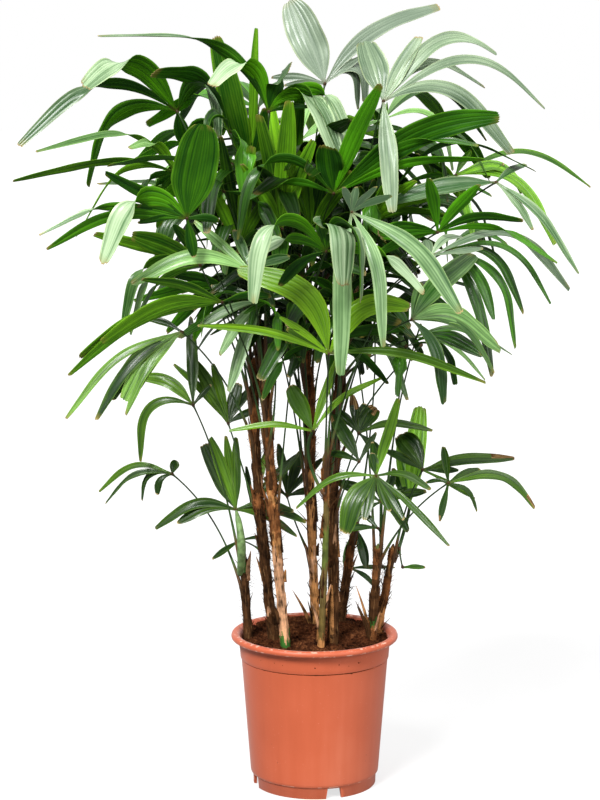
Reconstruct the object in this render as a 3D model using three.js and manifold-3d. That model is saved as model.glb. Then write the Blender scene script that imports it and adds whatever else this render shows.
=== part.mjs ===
// A lady palm (Rhapis excelsa) in a round nursery pot, in millimetres, +Z up.
// The origin is the centre of the pot's underside and the plant's front is the -Y side.
import * as THREE from 'three';
import { mergeVertices } from 'three/addons/utils/BufferGeometryUtils.js';
import Module from 'manifold-3d';

const wasm = await Module();
wasm.setup();

const palm = new THREE.Group();
const gap = 0.3;

// ---------------------------------------------------------------- sizes: pot and soil
const pot = {
  rimRadius: 120,
  height: 222,
  rimDrop: 8,
  collarRadius: 109,
  stepHeight: 186,
  stepRadius: 105.5,
  footRadius: 92.5,
  footHeight: 17,
  ringRadius: 88.8,
  wall: 2.4,
  floor: 3,
  sides: 32,
  notches: 4,
  notchWidth: 19,
  notchHeight: 12,
  firstNotch: -72,
};
const soilTop = 208;

// ---------------------------------------------------------------- sizes: canes
// Each cane runs through its points, [x, y, z], from the flat cut on the soil to its tip.
const canes = {
  cane_1: { foot: 6.5, tip: 4, points: [[-95, 10], [-101, 10, 300], [-103, 10, 340]] },
  cane_2: { foot: 7, tip: 5.5, points: [[-59, 0], [-78, 0, 396], [-84, 0, 500], [-86, 4, 620]] },
  cane_3: {
    foot: 8,
    tip: 5.5,
    points: [[-42, -26], [-58, -22, 396], [-66, -16, 516], [-76, -10, 650]],
  },
  cane_4: {
    foot: 7.5,
    tip: 5.5,
    points: [[2, 60], [-6, 60, 416], [-6, 56, 516], [-15, 48, 640], [-26, 40, 760]],
  },
  cane_5: { foot: 5.5, tip: 4, points: [[9, -27], [16, -34, 396], [14, -40, 490]] },
  cane_6: {
    foot: 7.5,
    tip: 5.5,
    points: [[27, -8], [27, 4, 396], [30, 10, 516], [38, 10, 620], [44, 8, 715]],
  },
  cane_7: { foot: 6.5, tip: 4.5, points: [[38, 78], [49, 50, 306], [61, 20, 386]] },
  cane_8: { foot: 6, tip: 5, points: [[84, 6], [88, 0, 300], [91, -6, 352]] },
  cane_9: { foot: 6.5, tip: 4.5, points: [[91, 28], [105, 26, 286], [114, 22, 346]] },
};
const caneSides = 7;
const caneSpans = 6;

// ---------------------------------------------------------------- sizes: fronds
// A frond stands on its cane at the height given by from, and its leaflets meet at the hub.
// face is the bearing and the tilt, in degrees, that the upper side of the blade looks to:
// bearing 0 is the front, 90 the right, 180 the back, and tilt 90 is straight up.
// Each leaflet is [turn, length, width, bend]: turn is its angle at the hub seen from the
// front, 0 to the right and 90 upright, and bend is how far its tip turns down, in degrees.
// A fifth number is where along the leaflet it bends, as a share of its length.
// A frond with joins starts on the stalk of that frond and is one piece with it.
const fronds = {
  frond_01: {
    cane: 'cane_4', from: 735, hub: [14, 30, 1004], face: [0, 16],
    leaflets: [[110, 134, 50, 6], [54, 216, 23, 36], [42, 66, 10, 10], [50, 105, 15, 150],
      [162, 78, 12, 20], [174, 58, 9, 15]],
  },
  frond_02: {
    cane: 'cane_6', from: 700, hub: [92, -85, 980], face: [0, 20],
    leaflets: [[104, 94, 42, 8], [64, 113, 20, 25], [51, 214, 20, 76, 0.6], [54, 188, 16, 78],
      [35, 270, 14, 76, 0.5], [25, 224, 21, 76, 0.38], [275, 158, 25, 4]],
  },
  frond_03: {
    cane: 'cane_4', from: 690, hub: [25, -75, 855], face: [180, 24],
    leaflets: [[38, 258, 38, 34, 0.6], [71, 180, 26, 8], [98, 76, 40, 5],
      [134, 232, 16, 122, 0.45], [157, 140, 13, 50], [26, 216, 14, 26, 0.5],
      [37, 220, 13, 48, 0.6]],
  },
  frond_04: {
    cane: 'cane_3', from: 620, hub: [-64, -30, 966], face: [180, 12],
    leaflets: [[115, 292, 20, 64, 0.35], [104, 150, 26, 112, 0.5], [56, 186, 27, 124, 0.3],
      [80, 84, 28, 40], [38, 160, 24, 105, 0.45], [15, 56, 10, 15]],
  },
  frond_05: {
    cane: 'cane_3', from: 600, hub: [-194, 30, 966], face: [180, 26],
    leaflets: [[124, 190, 36, 90, 0.55], [147, 264, 20, 74, 0.4], [166, 200, 28, 88, 0.38],
      [62, 165, 30, 130, 0.45], [280, 52, 22, 0]],
  },
  frond_06: {
    cane: 'cane_2', from: 600, hub: [-191, -55, 882], face: [180, 30],
    leaflets: [[155, 231, 15, 36, 0.25], [124, 250, 11, 60, 0.32], [116, 110, 15, 66, 0.5],
      [158, 188, 14, 80, 0.33], [180, 72, 14, 60], [202, 64, 14, 50], [226, 56, 13, 30],
      [60, 76, 14, 30]],
  },
  frond_07: {
    cane: 'cane_2', from: 585, hub: [-170, -185, 827], face: [180, 12],
    leaflets: [[81, 131, 58, 6], [132, 176, 32, 116, 0.36], [148, 124, 18, 4], [160, 68, 12, 10],
      [174, 66, 10, 20], [5, 44, 12, 15], [279, 55, 16, 0]],
  },
  frond_08: {
    cane: 'cane_3', from: 640, hub: [-92, 40, 880], face: [180, 12],
    leaflets: [[104, 200, 36, 0], [77, 98, 20, 5], [87, 206, 13, 0], [150, 46, 12, 10]],
  },
  frond_09: {
    cane: 'cane_4', from: 670, hub: [-42, 60, 808], face: [180, 20],
    leaflets: [[96, 190, 22, 5], [84, 200, 24, 5], [106, 170, 18, 5], [70, 150, 18, 10],
      [120, 140, 20, 10], [50, 120, 18, 20]],
  },
  frond_10: {
    cane: 'cane_4', from: 640, hub: [13, -232, 787], face: [180, 28],
    leaflets: [[128, 205, 24, 130], [72, 180, 34, 150, 0.38], [95, 90, 26, 60], [200, 80, 16, 30],
      [8, 150, 22, 55], [150, 120, 18, 60]],
  },
  frond_11: {
    cane: 'cane_6', from: 690, hub: [46, -240, 838], face: [0, 44],
    leaflets: [[338, 202, 24, 35], [300, 190, 19, 40], [259, 215, 25, 36], [105, 50, 11, 10],
      [80, 50, 11, 10], [50, 60, 12, 10], [30, 65, 12, 15]],
  },
  frond_12: {
    cane: 'cane_6', from: 590, hub: [127, -185, 693], face: [20, 45],
    leaflets: [[49, 196, 30, 15], [14, 168, 38, 50, 0.38], [2, 160, 18, 58, 0.4],
      [322, 128, 22, 50, 0.35], [75, 90, 15, 20]],
  },
  frond_13: {
    cane: 'cane_6', from: 660, hub: [166, -105, 804], face: [180, 30],
    leaflets: [[100, 95, 18, 10], [57, 98, 17, 10], [30, 124, 15, 36], [12, 176, 12, 46],
      [168, 85, 26, 25], [190, 95, 13, 20]],
  },
  frond_14: {
    cane: 'cane_6', from: 630, hub: [154, -150, 775], face: [0, 55],
    leaflets: [[20, 282, 18, 62, 0.5], [48, 120, 14, 30], [10, 75, 10, 5], [100, 50, 14, 10]],
  },
  frond_15: {
    cane: 'cane_6', from: 645, hub: [187, -30, 775], face: [0, 35],
    leaflets: [[302, 195, 17, 30], [322, 122, 17, 35], [342, 182, 14, 62, 0.38],
      [10, 165, 16, 76, 0.34], [13, 190, 10, 72], [40, 110, 15, 60]],
  },
  frond_17: {
    cane: 'cane_6', from: 705, hub: [197, 0, 877], face: [0, 45],
    leaflets: [[8, 200, 20, 72, 0.4], [25, 243, 11, 56, 0.48], [18, 76, 11, 10],
      [15, 120, 20, 80, 0.6], [290, 106, 14, 20], [60, 60, 12, 10]],
  },
  frond_18: {
    cane: 'cane_6', from: 675, hub: [245, -95, 871], face: [0, 40],
    leaflets: [[183, 150, 28, 14], [328, 174, 14, 28], [318, 88, 13, 20], [40, 60, 12, 20]],
  },
  frond_20: {
    cane: 'cane_5', from: 470, hub: [17, -205, 650], face: [0, 10],
    leaflets: [[102, 185, 34, 65], [60, 142, 28, 72, 0.55], [147, 66, 13, 5], [157, 180, 11, 20],
      [138, 82, 10, 10], [6, 215, 12, 28]],
  },
  frond_21: {
    cane: 'cane_5', from: 430, hub: [-3, -60, 524], face: [0, 20],
    leaflets: [[118, 74, 25, 0], [167, 120, 9, 24], [52, 135, 9, 30], [73, 115, 12, 5]],
  },
  frond_22: {
    cane: 'cane_2', from: 560, hub: [-159, -60, 756], face: [180, 30],
    leaflets: [[158, 155, 20, 8], [146, 110, 30, 15], [162, 174, 18, 95, 0.4],
      [171, 162, 15, 85, 0.36], [196, 130, 13, 45], [115, 80, 16, 10]],
  },
  frond_23: {
    cane: 'cane_3', from: 560, hub: [-87, -150, 755], face: [0, 30],
    leaflets: [[157, 172, 22, 52], [140, 108, 13, 0], [30, 60, 14, 20], [320, 60, 12, 30],
      [110, 70, 14, 10]],
  },
  frond_24: {
    cane: 'cane_2', from: 545, hub: [-124, 0, 720], face: [180, 30],
    leaflets: [[160, 80, 20, 10], [180, 135, 14, 15], [172, 115, 12, 25], [195, 75, 12, 10],
      [75, 70, 16, 5]],
  },
  frond_25: {
    cane: 'cane_3', from: 535, hub: [-125, -160, 714], face: [180, 35],
    leaflets: [[176, 178, 27, 40], [186, 240, 15, 35], [150, 120, 16, 20], [20, 70, 14, 20]],
  },
  frond_26: {
    cane: 'cane_2', from: 505, hub: [-183, -95, 667], face: [0, 30],
    leaflets: [[214, 128, 28, 28], [202, 140, 20, 38], [196, 205, 12, 36], [206, 174, 16, 34],
      [220, 142, 14, 28], [150, 60, 12, 20]],
  },
  frond_27: {
    cane: 'cane_1', from: 322, hub: [-173, 0, 552], face: [0, 20],
    leaflets: [[92, 132, 17, 3], [133, 100, 18, 48, 0.5], [163, 148, 14, 104, 0.38],
      [50, 40, 8, 5]],
  },
  frond_28: {
    cane: 'cane_2', from: 400, hub: [-124, 20, 523], face: [0, 20],
    leaflets: [[117, 105, 20, 5], [104, 92, 14, 5], [76, 62, 20, 3], [30, 50, 12, 10]],
  },
  frond_29: {
    cane: 'cane_1', from: 336, hub: [-113, 8, 399], face: [0, 10],
    leaflets: [[98, 108, 14, 0], [90, 105, 14, 0], [118, 128, 27, 5], [8, 108, 14, 35],
      [352, 100, 12, 30]],
  },
  frond_30: {
    cane: 'cane_1', from: 308, hub: [-205, 20, 449], face: [0, 40],
    leaflets: [[160, 130, 10, 62], [172, 118, 11, 58], [170, 75, 13, 92], [195, 42, 11, 70],
      [75, 24, 14, 0]],
  },
  frond_32: {
    cane: 'cane_2', from: 320, hub: [-91, 40, 397], face: [0, 15],
    leaflets: [[76, 88, 12, 3], [52, 105, 16, 8], [98, 60, 8, 0]],
  },
  frond_31: {
    joins: 'frond_32', hub: [-106, 30, 350], face: [0, 40],
    leaflets: [[200, 58, 9, 10], [10, 36, 6, 5]],
  },
  frond_33: {
    cane: 'cane_4', from: 330, hub: [-40, 70, 407], face: [0, 15],
    leaflets: [[73, 72, 17, 3], [140, 45, 11, 5], [20, 50, 12, 20]],
  },
  frond_34: {
    cane: 'cane_7', from: 378, hub: [83, -125, 472], face: [0, 45],
    leaflets: [[215, 98, 28, 45], [70, 138, 15, 0], [310, 78, 13, 10], [10, 85, 13, 45],
      [175, 128, 12, 50], [325, 145, 10, 10], [100, 40, 14, 0]],
  },
  frond_35: {
    cane: 'cane_8', from: 340, hub: [95, 0, 412], face: [0, 30],
    leaflets: [[62, 48, 14, 3], [103, 42, 12, 3], [30, 44, 10, 5]],
  },
  frond_38: {
    joins: 'frond_35', hub: [90, -10, 376], face: [0, 30],
    leaflets: [[175, 56, 11, 15], [135, 34, 9, 0]],
  },
  frond_36: {
    cane: 'cane_9', from: 335, hub: [153, -20, 462], face: [0, 25],
    leaflets: [[112, 70, 34, 30], [16, 136, 17, 18], [2, 52, 11, 5], [335, 85, 8, 5]],
  },
  frond_44: {
    cane: 'cane_9', from: 320, hub: [137, 14, 405], face: [0, 15],
    leaflets: [[84, 146, 30, 3], [100, 88, 18, 3], [116, 60, 14, 0]],
  },
  frond_40: {
    joins: 'frond_44', hub: [127, 10, 314], face: [0, 40],
    leaflets: [[5, 34, 9, 10]],
  },
  frond_37: {
    cane: 'cane_8', from: 328, hub: [186, -70, 452], face: [0, 50],
    leaflets: [[95, 68, 12, 0], [12, 150, 18, 62, 0.5], [350, 62, 11, 60], [250, 68, 10, 5],
      [165, 34, 7, 30]],
  },
  frond_39: {
    cane: 'cane_7', from: 330, hub: [62, 90, 356], face: [0, 20],
    leaflets: [[250, 64, 16, 10], [288, 62, 16, 10]],
  },
  frond_41: {
    joins: 'frond_39', hub: [54, 112, 290], face: [0, 50],
    leaflets: [[5, 68, 10, 10], [340, 50, 10, 25]],
  },
  frond_42: {
    cane: 'cane_6', from: 420, hub: [62, -20, 515], face: [0, 30],
    leaflets: [[100, 60, 14, 0], [60, 50, 26, 15], [20, 112, 12, 35], [320, 52, 14, 5]],
  },
  frond_43: {
    cane: 'cane_6', from: 395, hub: [62, -55, 480], face: [0, 25],
    leaflets: [[118, 80, 22, 5], [60, 50, 9, 5], [160, 60, 12, 20]],
  },
  frond_45: {
    cane: 'cane_6', from: 560, hub: [53, 20, 671], face: [0, 50],
    leaflets: [[328, 145, 13, 40], [336, 110, 15, 10], [5, 120, 13, 70]],
  },
  frond_16: {
    joins: 'frond_45', hub: [141, 20, 647], face: [0, 60],
    leaflets: [[168, 65, 10, 10], [15, 175, 12, 45], [355, 125, 10, 45], [15, 55, 10, 10]],
  },
  frond_46: {
    cane: 'cane_3', from: 480, hub: [-74, -34, 704], face: [0, 40],
    leaflets: [[218, 112, 15, 20], [245, 140, 18, 10], [20, 80, 18, 20]],
  },
};

const stalkRadius = 2.3;
const hubRadius = 7;
const hubRoom = 5.6;
const thinnest = 2.4;
const thickShare = 0.0105;
const rootShare = 0.05;
const fullWidthAt = 0.5;
const taperFrom = 0.7;
const tipTaper = 0.4;
const steepLean = 60;
const usualBend = 0.42;
const bendSpread = 0.7;

// The far side of the crown has groups of fronds by rule, from the right round the back to the
// left. The fronds of a group stand one under the other, and the upper ones reach further out.
const farSide = {
  groups: 8,
  firstBearing: 62,
  bearingStep: 32,
  tiers: [
    { height: 915, reach: 122, leaflets: 6, length: 220, width: 36 },
    { height: 835, reach: 146, leaflets: 5, length: 200, width: 37 },
    { height: 690, reach: 130, leaflets: 5, length: 160, width: 31 },
  ],
  tierTurn: 15,
  heightSpread: 110,
  fan: 205,
};

const leafSteps = 36;
const stalkSteps = 20;
const rootSteps = 4;
const bentSpans = 4;
const leafSpans = 3;
const shortSpans = 2;
const shortLeaflet = 75;
const strongBend = 72;
const stalkSpans = 3;
const clearance = 1.6;
const smallest = 0.8;
const leanTries = [0, 7, -7, 14, -14, 22, -22, 30, -30];
const turnTries = [0, 7, -7];
const fromTries = [0, -10, 10, -20, 20, -30, 32, -42, -56, -70, -85, -100, -120, -140, -165];
const joinTries = [4, 7, 10];
const bowTries = [0, 18, -18, 36, -36, 60, -60];

// ---------------------------------------------------------------- helpers
const vec = (x, y, z) => new THREE.Vector3(x, y, z);
const rad = THREE.MathUtils.degToRad;
const up = vec(0, 0, 1);

function solid(geometry) {
  const bare = geometry.clone();
  bare.deleteAttribute('normal');
  bare.deleteAttribute('uv');
  const merged = mergeVertices(bare, 1e-4);
  return new wasm.Manifold(new wasm.Mesh({
    numProp: 3,
    vertProperties: new Float32Array(merged.attributes.position.array),
    triVerts: new Uint32Array(merged.index.array),
  }));
}

function geometryOf(manifold) {
  const mesh = manifold.getMesh();
  const geometry = new THREE.BufferGeometry();
  geometry.setAttribute('position', new THREE.BufferAttribute(mesh.vertProperties, 3));
  geometry.setIndex(new THREE.BufferAttribute(mesh.triVerts, 1));
  geometry.computeVertexNormals();
  return geometry;
}

// Turns a shape made round the Y axis so that it stands on its Z axis.
function upright(geometry) {
  return geometry.rotateX(Math.PI / 2);
}

function add(name, geometry, color, roughness) {
  const material = new THREE.MeshStandardMaterial({ color, roughness, metalness: 0 });
  const mesh = new THREE.Mesh(geometry, material);
  mesh.name = name;
  palm.add(mesh);
}

// A closed skin over rings of points, each ring with the same count, with flat ends.
function loft(rings) {
  const count = rings[0].length;
  const position = rings.flat().flatMap((p) => [p.x, p.y, p.z]);
  const index = [];
  for (let i = 0; i + 1 < rings.length; i += 1) {
    for (let j = 0; j < count; j += 1) {
      const a = i * count + j;
      const b = i * count + ((j + 1) % count);
      index.push(a, b, b + count, a, b + count, a + count);
    }
  }
  const last = (rings.length - 1) * count;
  for (let j = 1; j + 1 < count; j += 1) {
    index.push(0, j + 1, j);
    index.push(last, last + j, last + j + 1);
  }
  const geometry = new THREE.BufferGeometry();
  geometry.setAttribute('position', new THREE.Float32BufferAttribute(position, 3));
  geometry.setIndex(index);
  return geometry;
}

// ---------------------------------------------------------------- pot
function potProfile() {
  const { rimRadius, height, rimDrop, collarRadius, stepHeight, stepRadius } = pot;
  const { footRadius, footHeight, ringRadius, wall, floor } = pot;
  const outline = new THREE.Path();
  outline.moveTo(ringRadius - 4, 0);
  outline.lineTo(ringRadius, 0);
  outline.lineTo(ringRadius + 0.6, footHeight);
  outline.lineTo(footRadius - 0.6, footHeight + 0.6);
  outline.lineTo(footRadius + 0.4, footHeight + 5);
  outline.lineTo(stepRadius, stepHeight);
  outline.lineTo(stepRadius + 1.2, stepHeight + 0.8);
  outline.lineTo(collarRadius, height - rimDrop);
  outline.lineTo(rimRadius - 1.4, height - rimDrop);
  outline.lineTo(rimRadius, height - rimDrop + 2);
  outline.lineTo(rimRadius - 0.6, height - 2.4);
  outline.lineTo(rimRadius - 3.4, height);
  outline.lineTo(collarRadius + 2, height);
  outline.lineTo(collarRadius - wall, height - 4);
  outline.lineTo(stepRadius - wall, stepHeight);
  outline.lineTo(footRadius - wall, footHeight + floor);
  outline.lineTo(0, footHeight + floor);
  outline.lineTo(0, footHeight);
  outline.lineTo(ringRadius - 3.4, footHeight);
  outline.lineTo(ringRadius - 4, 0);
  return outline.getPoints(1);
}

function makePot() {
  let body = solid(upright(new THREE.LatheGeometry(potProfile(), pot.sides)));
  for (let i = 0; i < pot.notches; i += 1) {
    const cut = new THREE.BoxGeometry(20, pot.notchWidth, pot.notchHeight * 2);
    cut.translate(pot.ringRadius - 1, 0, 0);
    cut.rotateZ(rad(pot.firstNotch + (360 / pot.notches) * i));
    body = body.subtract(solid(cut));
  }
  return geometryOf(body);
}

function makeSoil() {
  const { sides, wall, stepRadius, stepHeight, collarRadius, height } = pot;
  const { footRadius, footHeight, floor } = pot;
  const inset = wall + gap;
  const topShare = (soilTop - stepHeight) / (height - 4 - stepHeight);
  const topRadius = stepRadius + (collarRadius - stepRadius) * topShare - inset;
  const outline = new THREE.Path();
  outline.moveTo(0, footHeight + floor + gap);
  outline.lineTo(footRadius - inset, footHeight + floor + gap);
  outline.lineTo(stepRadius - inset, stepHeight);
  outline.lineTo(topRadius, soilTop);
  outline.lineTo(0, soilTop);
  return geometryOf(solid(upright(new THREE.LatheGeometry(outline.getPoints(1), sides))));
}

// ---------------------------------------------------------------- canes
function caneCurve(cane) {
  const start = soilTop + gap;
  const points = cane.points.map(([x, y, z]) => vec(x, y, z ?? start));
  return new THREE.CatmullRomCurve3(points, false, 'centripetal');
}

function caneRadius(cane, share) {
  return cane.foot + (cane.tip - cane.foot) * share;
}

function ringAround(centre, along, radius, sides, side = vec(0, 1, 0)) {
  const right = side.clone().cross(along).normalize();
  const back = along.clone().cross(right).normalize();
  const ring = [];
  for (let j = 0; j < sides; j += 1) {
    const angle = (Math.PI * 2 * j) / sides;
    const corner = centre.clone();
    corner.addScaledVector(right, Math.cos(angle) * radius);
    corner.addScaledVector(back, Math.sin(angle) * radius);
    ring.push(corner);
  }
  return ring;
}

function caneStation(cane, i) {
  const share = i / caneSpans;
  const curve = caneCurve(cane);
  const along = i === 0 ? up : curve.getTangent(share);
  return { point: curve.getPoint(share), along, radius: caneRadius(cane, share) };
}

function makeCane(cane) {
  const rings = [];
  for (let i = 0; i <= caneSpans; i += 1) {
    const { point, along, radius } = caneStation(cane, i);
    rings.push(ringAround(point, along, radius, caneSides));
  }
  return loft(rings);
}

// A cane's centre, direction and radius at a height.
function caneAt(cane, height) {
  let i = 0;
  while (i + 2 <= caneSpans && caneStation(cane, i + 1).point.z < height) {
    i += 1;
  }
  const lower = caneStation(cane, i);
  const upper = caneStation(cane, i + 1);
  const share = (height - lower.point.z) / (upper.point.z - lower.point.z);
  return {
    point: lower.point.clone().lerp(upper.point, share),
    along: upper.point.clone().sub(lower.point).normalize(),
    radius: lower.radius + (upper.radius - lower.radius) * share,
  };
}

// How far a point stands off the flat sides of a cane.
function standOff(at, p) {
  const right = vec(0, 1, 0).cross(at.along).normalize();
  const back = at.along.clone().cross(right).normalize();
  const away = p.clone().sub(at.point);
  let off = -Infinity;
  for (let j = 0; j < caneSides; j += 1) {
    const angle = (Math.PI * 2 * (j + 0.5)) / caneSides;
    off = Math.max(off, away.dot(right) * Math.cos(angle) + away.dot(back) * Math.sin(angle));
  }
  return off - at.radius * Math.cos(Math.PI / caneSides);
}

// ---------------------------------------------------------------- the room each piece takes
// A piece is a chain of slabs, each with its centre, its three directions, its length, half
// width and half thickness. Two pieces are clear when no point of one lies in the other's slabs.
function slab(centre, along, across, length, half, thick) {
  return { centre, along, across, face: along.clone().cross(across), length, half, thick };
}

function pieceOf(slabs, flat) {
  const box = new THREE.Box3();
  const points = [];
  for (const s of slabs) {
    const lanes = flat ? [-1, -0.5, 0, 0.5, 1] : [0];
    for (const lane of lanes) {
      points.push(s.centre.clone().addScaledVector(s.across, lane * s.half));
    }
    box.expandByPoint(points[points.length - 1]);
    box.expandByPoint(points[points.length - lanes.length]);
  }
  const reach = flat ? thinnest : Math.max(...slabs.map((s) => s.half));
  box.expandByScalar(reach + clearance);
  return { slabs, points, box, reach: flat ? 1 : reach };
}

function pointInSlabs(points, reach, slabs, box) {
  for (const p of points) {
    if (!box.containsPoint(p)) {
      continue;
    }
    for (const s of slabs) {
      const dx = p.x - s.centre.x;
      const dy = p.y - s.centre.y;
      const dz = p.z - s.centre.z;
      const a = Math.abs(dx * s.along.x + dy * s.along.y + dz * s.along.z) - s.length / 2;
      const b = Math.abs(dx * s.across.x + dy * s.across.y + dz * s.across.z) - s.half;
      const c = Math.abs(dx * s.face.x + dy * s.face.y + dz * s.face.z) - s.thick;
      const distance = Math.hypot(Math.max(a, 0), Math.max(b, 0), Math.max(c, 0));
      if (distance < reach + clearance) {
        return true;
      }
    }
  }
  return false;
}

function touches(one, two) {
  if (!one.box.intersectsBox(two.box)) {
    return false;
  }
  return pointInSlabs(one.points, one.reach, two.slabs, two.box)
    || pointInSlabs(two.points, two.reach, one.slabs, one.box);
}

function stemSlabs(points, radii) {
  const slabs = [];
  for (let i = 0; i + 1 < points.length; i += 1) {
    const along = points[i + 1].clone().sub(points[i]);
    const length = along.length();
    along.normalize();
    const across = vec(0, 1, 0).cross(along).normalize();
    const centre = points[i].clone().lerp(points[i + 1], 0.5);
    slabs.push(slab(centre, along, across, length, radii[i], radii[i]));
  }
  return slabs;
}

// ---------------------------------------------------------------- fronds
// Fills a run of equal straight spans with evenly spaced steps.
function alongSpans(steps, spans, bendAt, between) {
  const filled = [];
  for (let i = 0; i <= steps; i += 1) {
    const at = (i / steps) * spans;
    const span = Math.min(Math.floor(at), spans - 1);
    filled.push(between(bendAt(span), bendAt(span + 1), at - span));
  }
  return filled;
}

let seed = 7;
function random() {
  seed = (seed * 1664525 + 1013904223) % 4294967296;
  return seed / 4294967296;
}

// A direction on the frond's blade. The view angle is turned to the frond's own side last.
function startOf(frond, turn, leanMore) {
  const [bearing, tilt] = frond.face.map(rad);
  const side = rad(frond.side ?? 0);
  const face = vec(Math.sin(bearing) * Math.cos(tilt), -Math.cos(bearing) * Math.cos(tilt), Math.sin(tilt));
  const angle = rad(turn);
  const slope = (face.x * Math.cos(angle) + face.z * Math.sin(angle)) / face.y;
  const steepest = rad(steepLean);
  const lean = Math.max(-steepest, Math.min(steepest, Math.atan(slope))) + rad(leanMore);
  const along = vec(Math.cos(angle) * Math.cos(lean), -Math.sin(lean), Math.sin(angle) * Math.cos(lean));
  return { along: along.applyAxisAngle(up, side), face: face.applyAxisAngle(up, side) };
}

function widthShare(share) {
  if (share < fullWidthAt) {
    return rootShare + (1 - rootShare) * Math.sin((Math.PI / 2) * (share / fullWidthAt));
  }
  const past = Math.max(0, (share - taperFrom) / (1 - taperFrom));
  return 1 - tipTaper * past * past;
}

// A leaflet is straight at its root and its tip and bends round one place along its length.
function bendShare(share, place) {
  const past = Math.min(1, Math.max(0, (share - place) / bendSpread + 0.5));
  return past * past * (3 - 2 * past);
}

function leafletSpans([, length, , bend]) {
  const usual = bend > strongBend ? bentSpans : leafSpans;
  return length < shortLeaflet ? shortSpans : usual;
}

// The stations of a leaflet from its root to its tip. It starts in the blade's plane and its
// rise falls by the bend, while its width keeps its own angle to the upright plane it bends in.
function leafStations(frond, leaflet, turnMore, leanMore) {
  const [turn, length, width, bend, bendAt = usualBend] = leaflet;
  const { along, face } = startOf(frond, turn + turnMore, leanMore);
  const level = Math.hypot(along.x, along.y);
  const out = vec(along.x / level, along.y / level, 0);
  const beside = out.clone().cross(up);
  const rise = Math.atan2(along.z, level);
  const across = face.clone().cross(along).normalize();
  const lift = vec(out.x * -Math.sin(rise), out.y * -Math.sin(rise), Math.cos(rise));
  const upShare = across.dot(lift);
  const besideShare = across.dot(beside);
  const point = frond.hub.clone();
  const stations = [];
  for (let i = 0; i <= leafSteps; i += 1) {
    const share = i / leafSteps;
    const angle = Math.max(rise - rad(bend) * bendShare(share, bendAt), rad(-88));
    const dir = vec(out.x * Math.cos(angle), out.y * Math.cos(angle), Math.sin(angle));
    const rising = vec(out.x * -Math.sin(angle), out.y * -Math.sin(angle), Math.cos(angle));
    const wide = rising.multiplyScalar(upShare).addScaledVector(beside, besideShare);
    stations.push({
      point: point.clone(),
      along: dir,
      across: wide,
      half: (width / 2) * widthShare(share),
    });
    point.addScaledVector(dir, length / leafSteps);
  }
  const spans = leafletSpans(leaflet);
  const atBend = (i) => stations[Math.round((i * leafSteps) / spans)];
  return alongSpans(leafSteps, spans, atBend, (a, b, part) => ({
    point: a.point.clone().lerp(b.point, part),
    along: b.point.clone().sub(a.point).normalize(),
    across: a.across.clone().lerp(b.across, part).normalize(),
    half: a.half + (b.half - a.half) * part,
  }));
}

function leafPiece(stations, length) {
  const slabs = stations.map((s) => (
    slab(s.point, s.along, s.across, length / leafSteps, s.half, thinnest / 2)
  ));
  return pieceOf(slabs, true);
}

// Three corners a ring: the two edges and a keel under the midrib.
function leafSolid(stations, leaflet) {
  const keel = Math.max(thinnest, leaflet[1] * thickShare);
  const spans = leafletSpans(leaflet);
  const rings = [];
  for (let i = 0; i <= spans; i += 1) {
    const s = stations[Math.round((leafSteps * i) / spans)];
    const under = s.along.clone().cross(s.across).multiplyScalar(-keel);
    rings.push([
      s.point.clone().addScaledVector(s.across, s.half),
      s.point.clone().addScaledVector(s.across, -s.half),
      s.point.clone().add(under),
    ]);
  }
  return solid(loft(rings));
}

// The foot of a stalk turns one flat side to its cane and stands the gap away from it.
function seatOn(at, out) {
  const aside = up.clone().cross(out);
  const start = at.point.clone().addScaledVector(out, at.radius);
  for (let i = 0; i < 4; i += 1) {
    const foot = ringAround(start, up, stalkRadius, 3, aside);
    const middles = foot.map((p, j) => p.clone().lerp(foot[(j + 1) % 3], 0.5));
    const least = Math.min(...[...foot, ...middles].map((p) => standOff(at, p)));
    start.addScaledVector(out, gap - least);
  }
  return start;
}

// The stalk bows up from its cane, or from the stalk that it joins, and out to its hub.
function stalkPath(frond, cane, spot, bow) {
  let start;
  let out;
  if (frond.joins) {
    start = fronds[frond.joins].stalk[spot].clone();
    out = frond.hub.clone().sub(start).setZ(0).normalize();
  } else {
    const highest = canes[cane].points.at(-1)[2] - 10;
    const at = caneAt(canes[cane], Math.min(frond.from + spot, highest));
    out = frond.hub.clone().sub(at.point).setZ(0).normalize();
    start = seatOn(at, out);
  }
  const run = Math.hypot(frond.hub.x - start.x, frond.hub.y - start.y);
  const rise = frond.hub.z - start.z;
  const aside = up.clone().cross(out);
  const knee = start.clone().addScaledVector(out, run * 0.36).addScaledVector(aside, bow);
  knee.z += rise * 0.62;
  const bends = new THREE.QuadraticBezierCurve3(start, knee, frond.hub).getPoints(stalkSpans);
  return alongSpans(stalkSteps, stalkSpans, (i) => bends[i], (a, b, share) => a.clone().lerp(b, share));
}

function stalkSolid(path) {
  const out = path[stalkSteps].clone().sub(path[0]).setZ(0).normalize();
  const aside = up.clone().cross(out);
  const rings = [];
  for (let i = 0; i <= stalkSpans; i += 1) {
    const step = Math.round((stalkSteps * i) / stalkSpans);
    const next = path[Math.min(step + 1, stalkSteps)];
    const last = path[Math.max(step - 1, 0)];
    const along = i === 0 ? up : next.clone().sub(last).normalize();
    rings.push(ringAround(path[step], along, stalkRadius, 3, aside));
  }
  return solid(loft(rings));
}

function hubSolid(frond) {
  const knot = new THREE.OctahedronGeometry(hubRadius, 0);
  knot.translate(frond.hub.x, frond.hub.y, frond.hub.z);
  return solid(knot);
}

// ---------------------------------------------------------------- the far side of the crown
function nearestCanes(hub) {
  const away = (name) => {
    const [x, y] = canes[name].points.at(-1);
    return Math.hypot(hub[0] - x, hub[1] - y);
  };
  return ['cane_2', 'cane_3', 'cane_4', 'cane_6'].sort((a, b) => away(a) - away(b));
}

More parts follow.
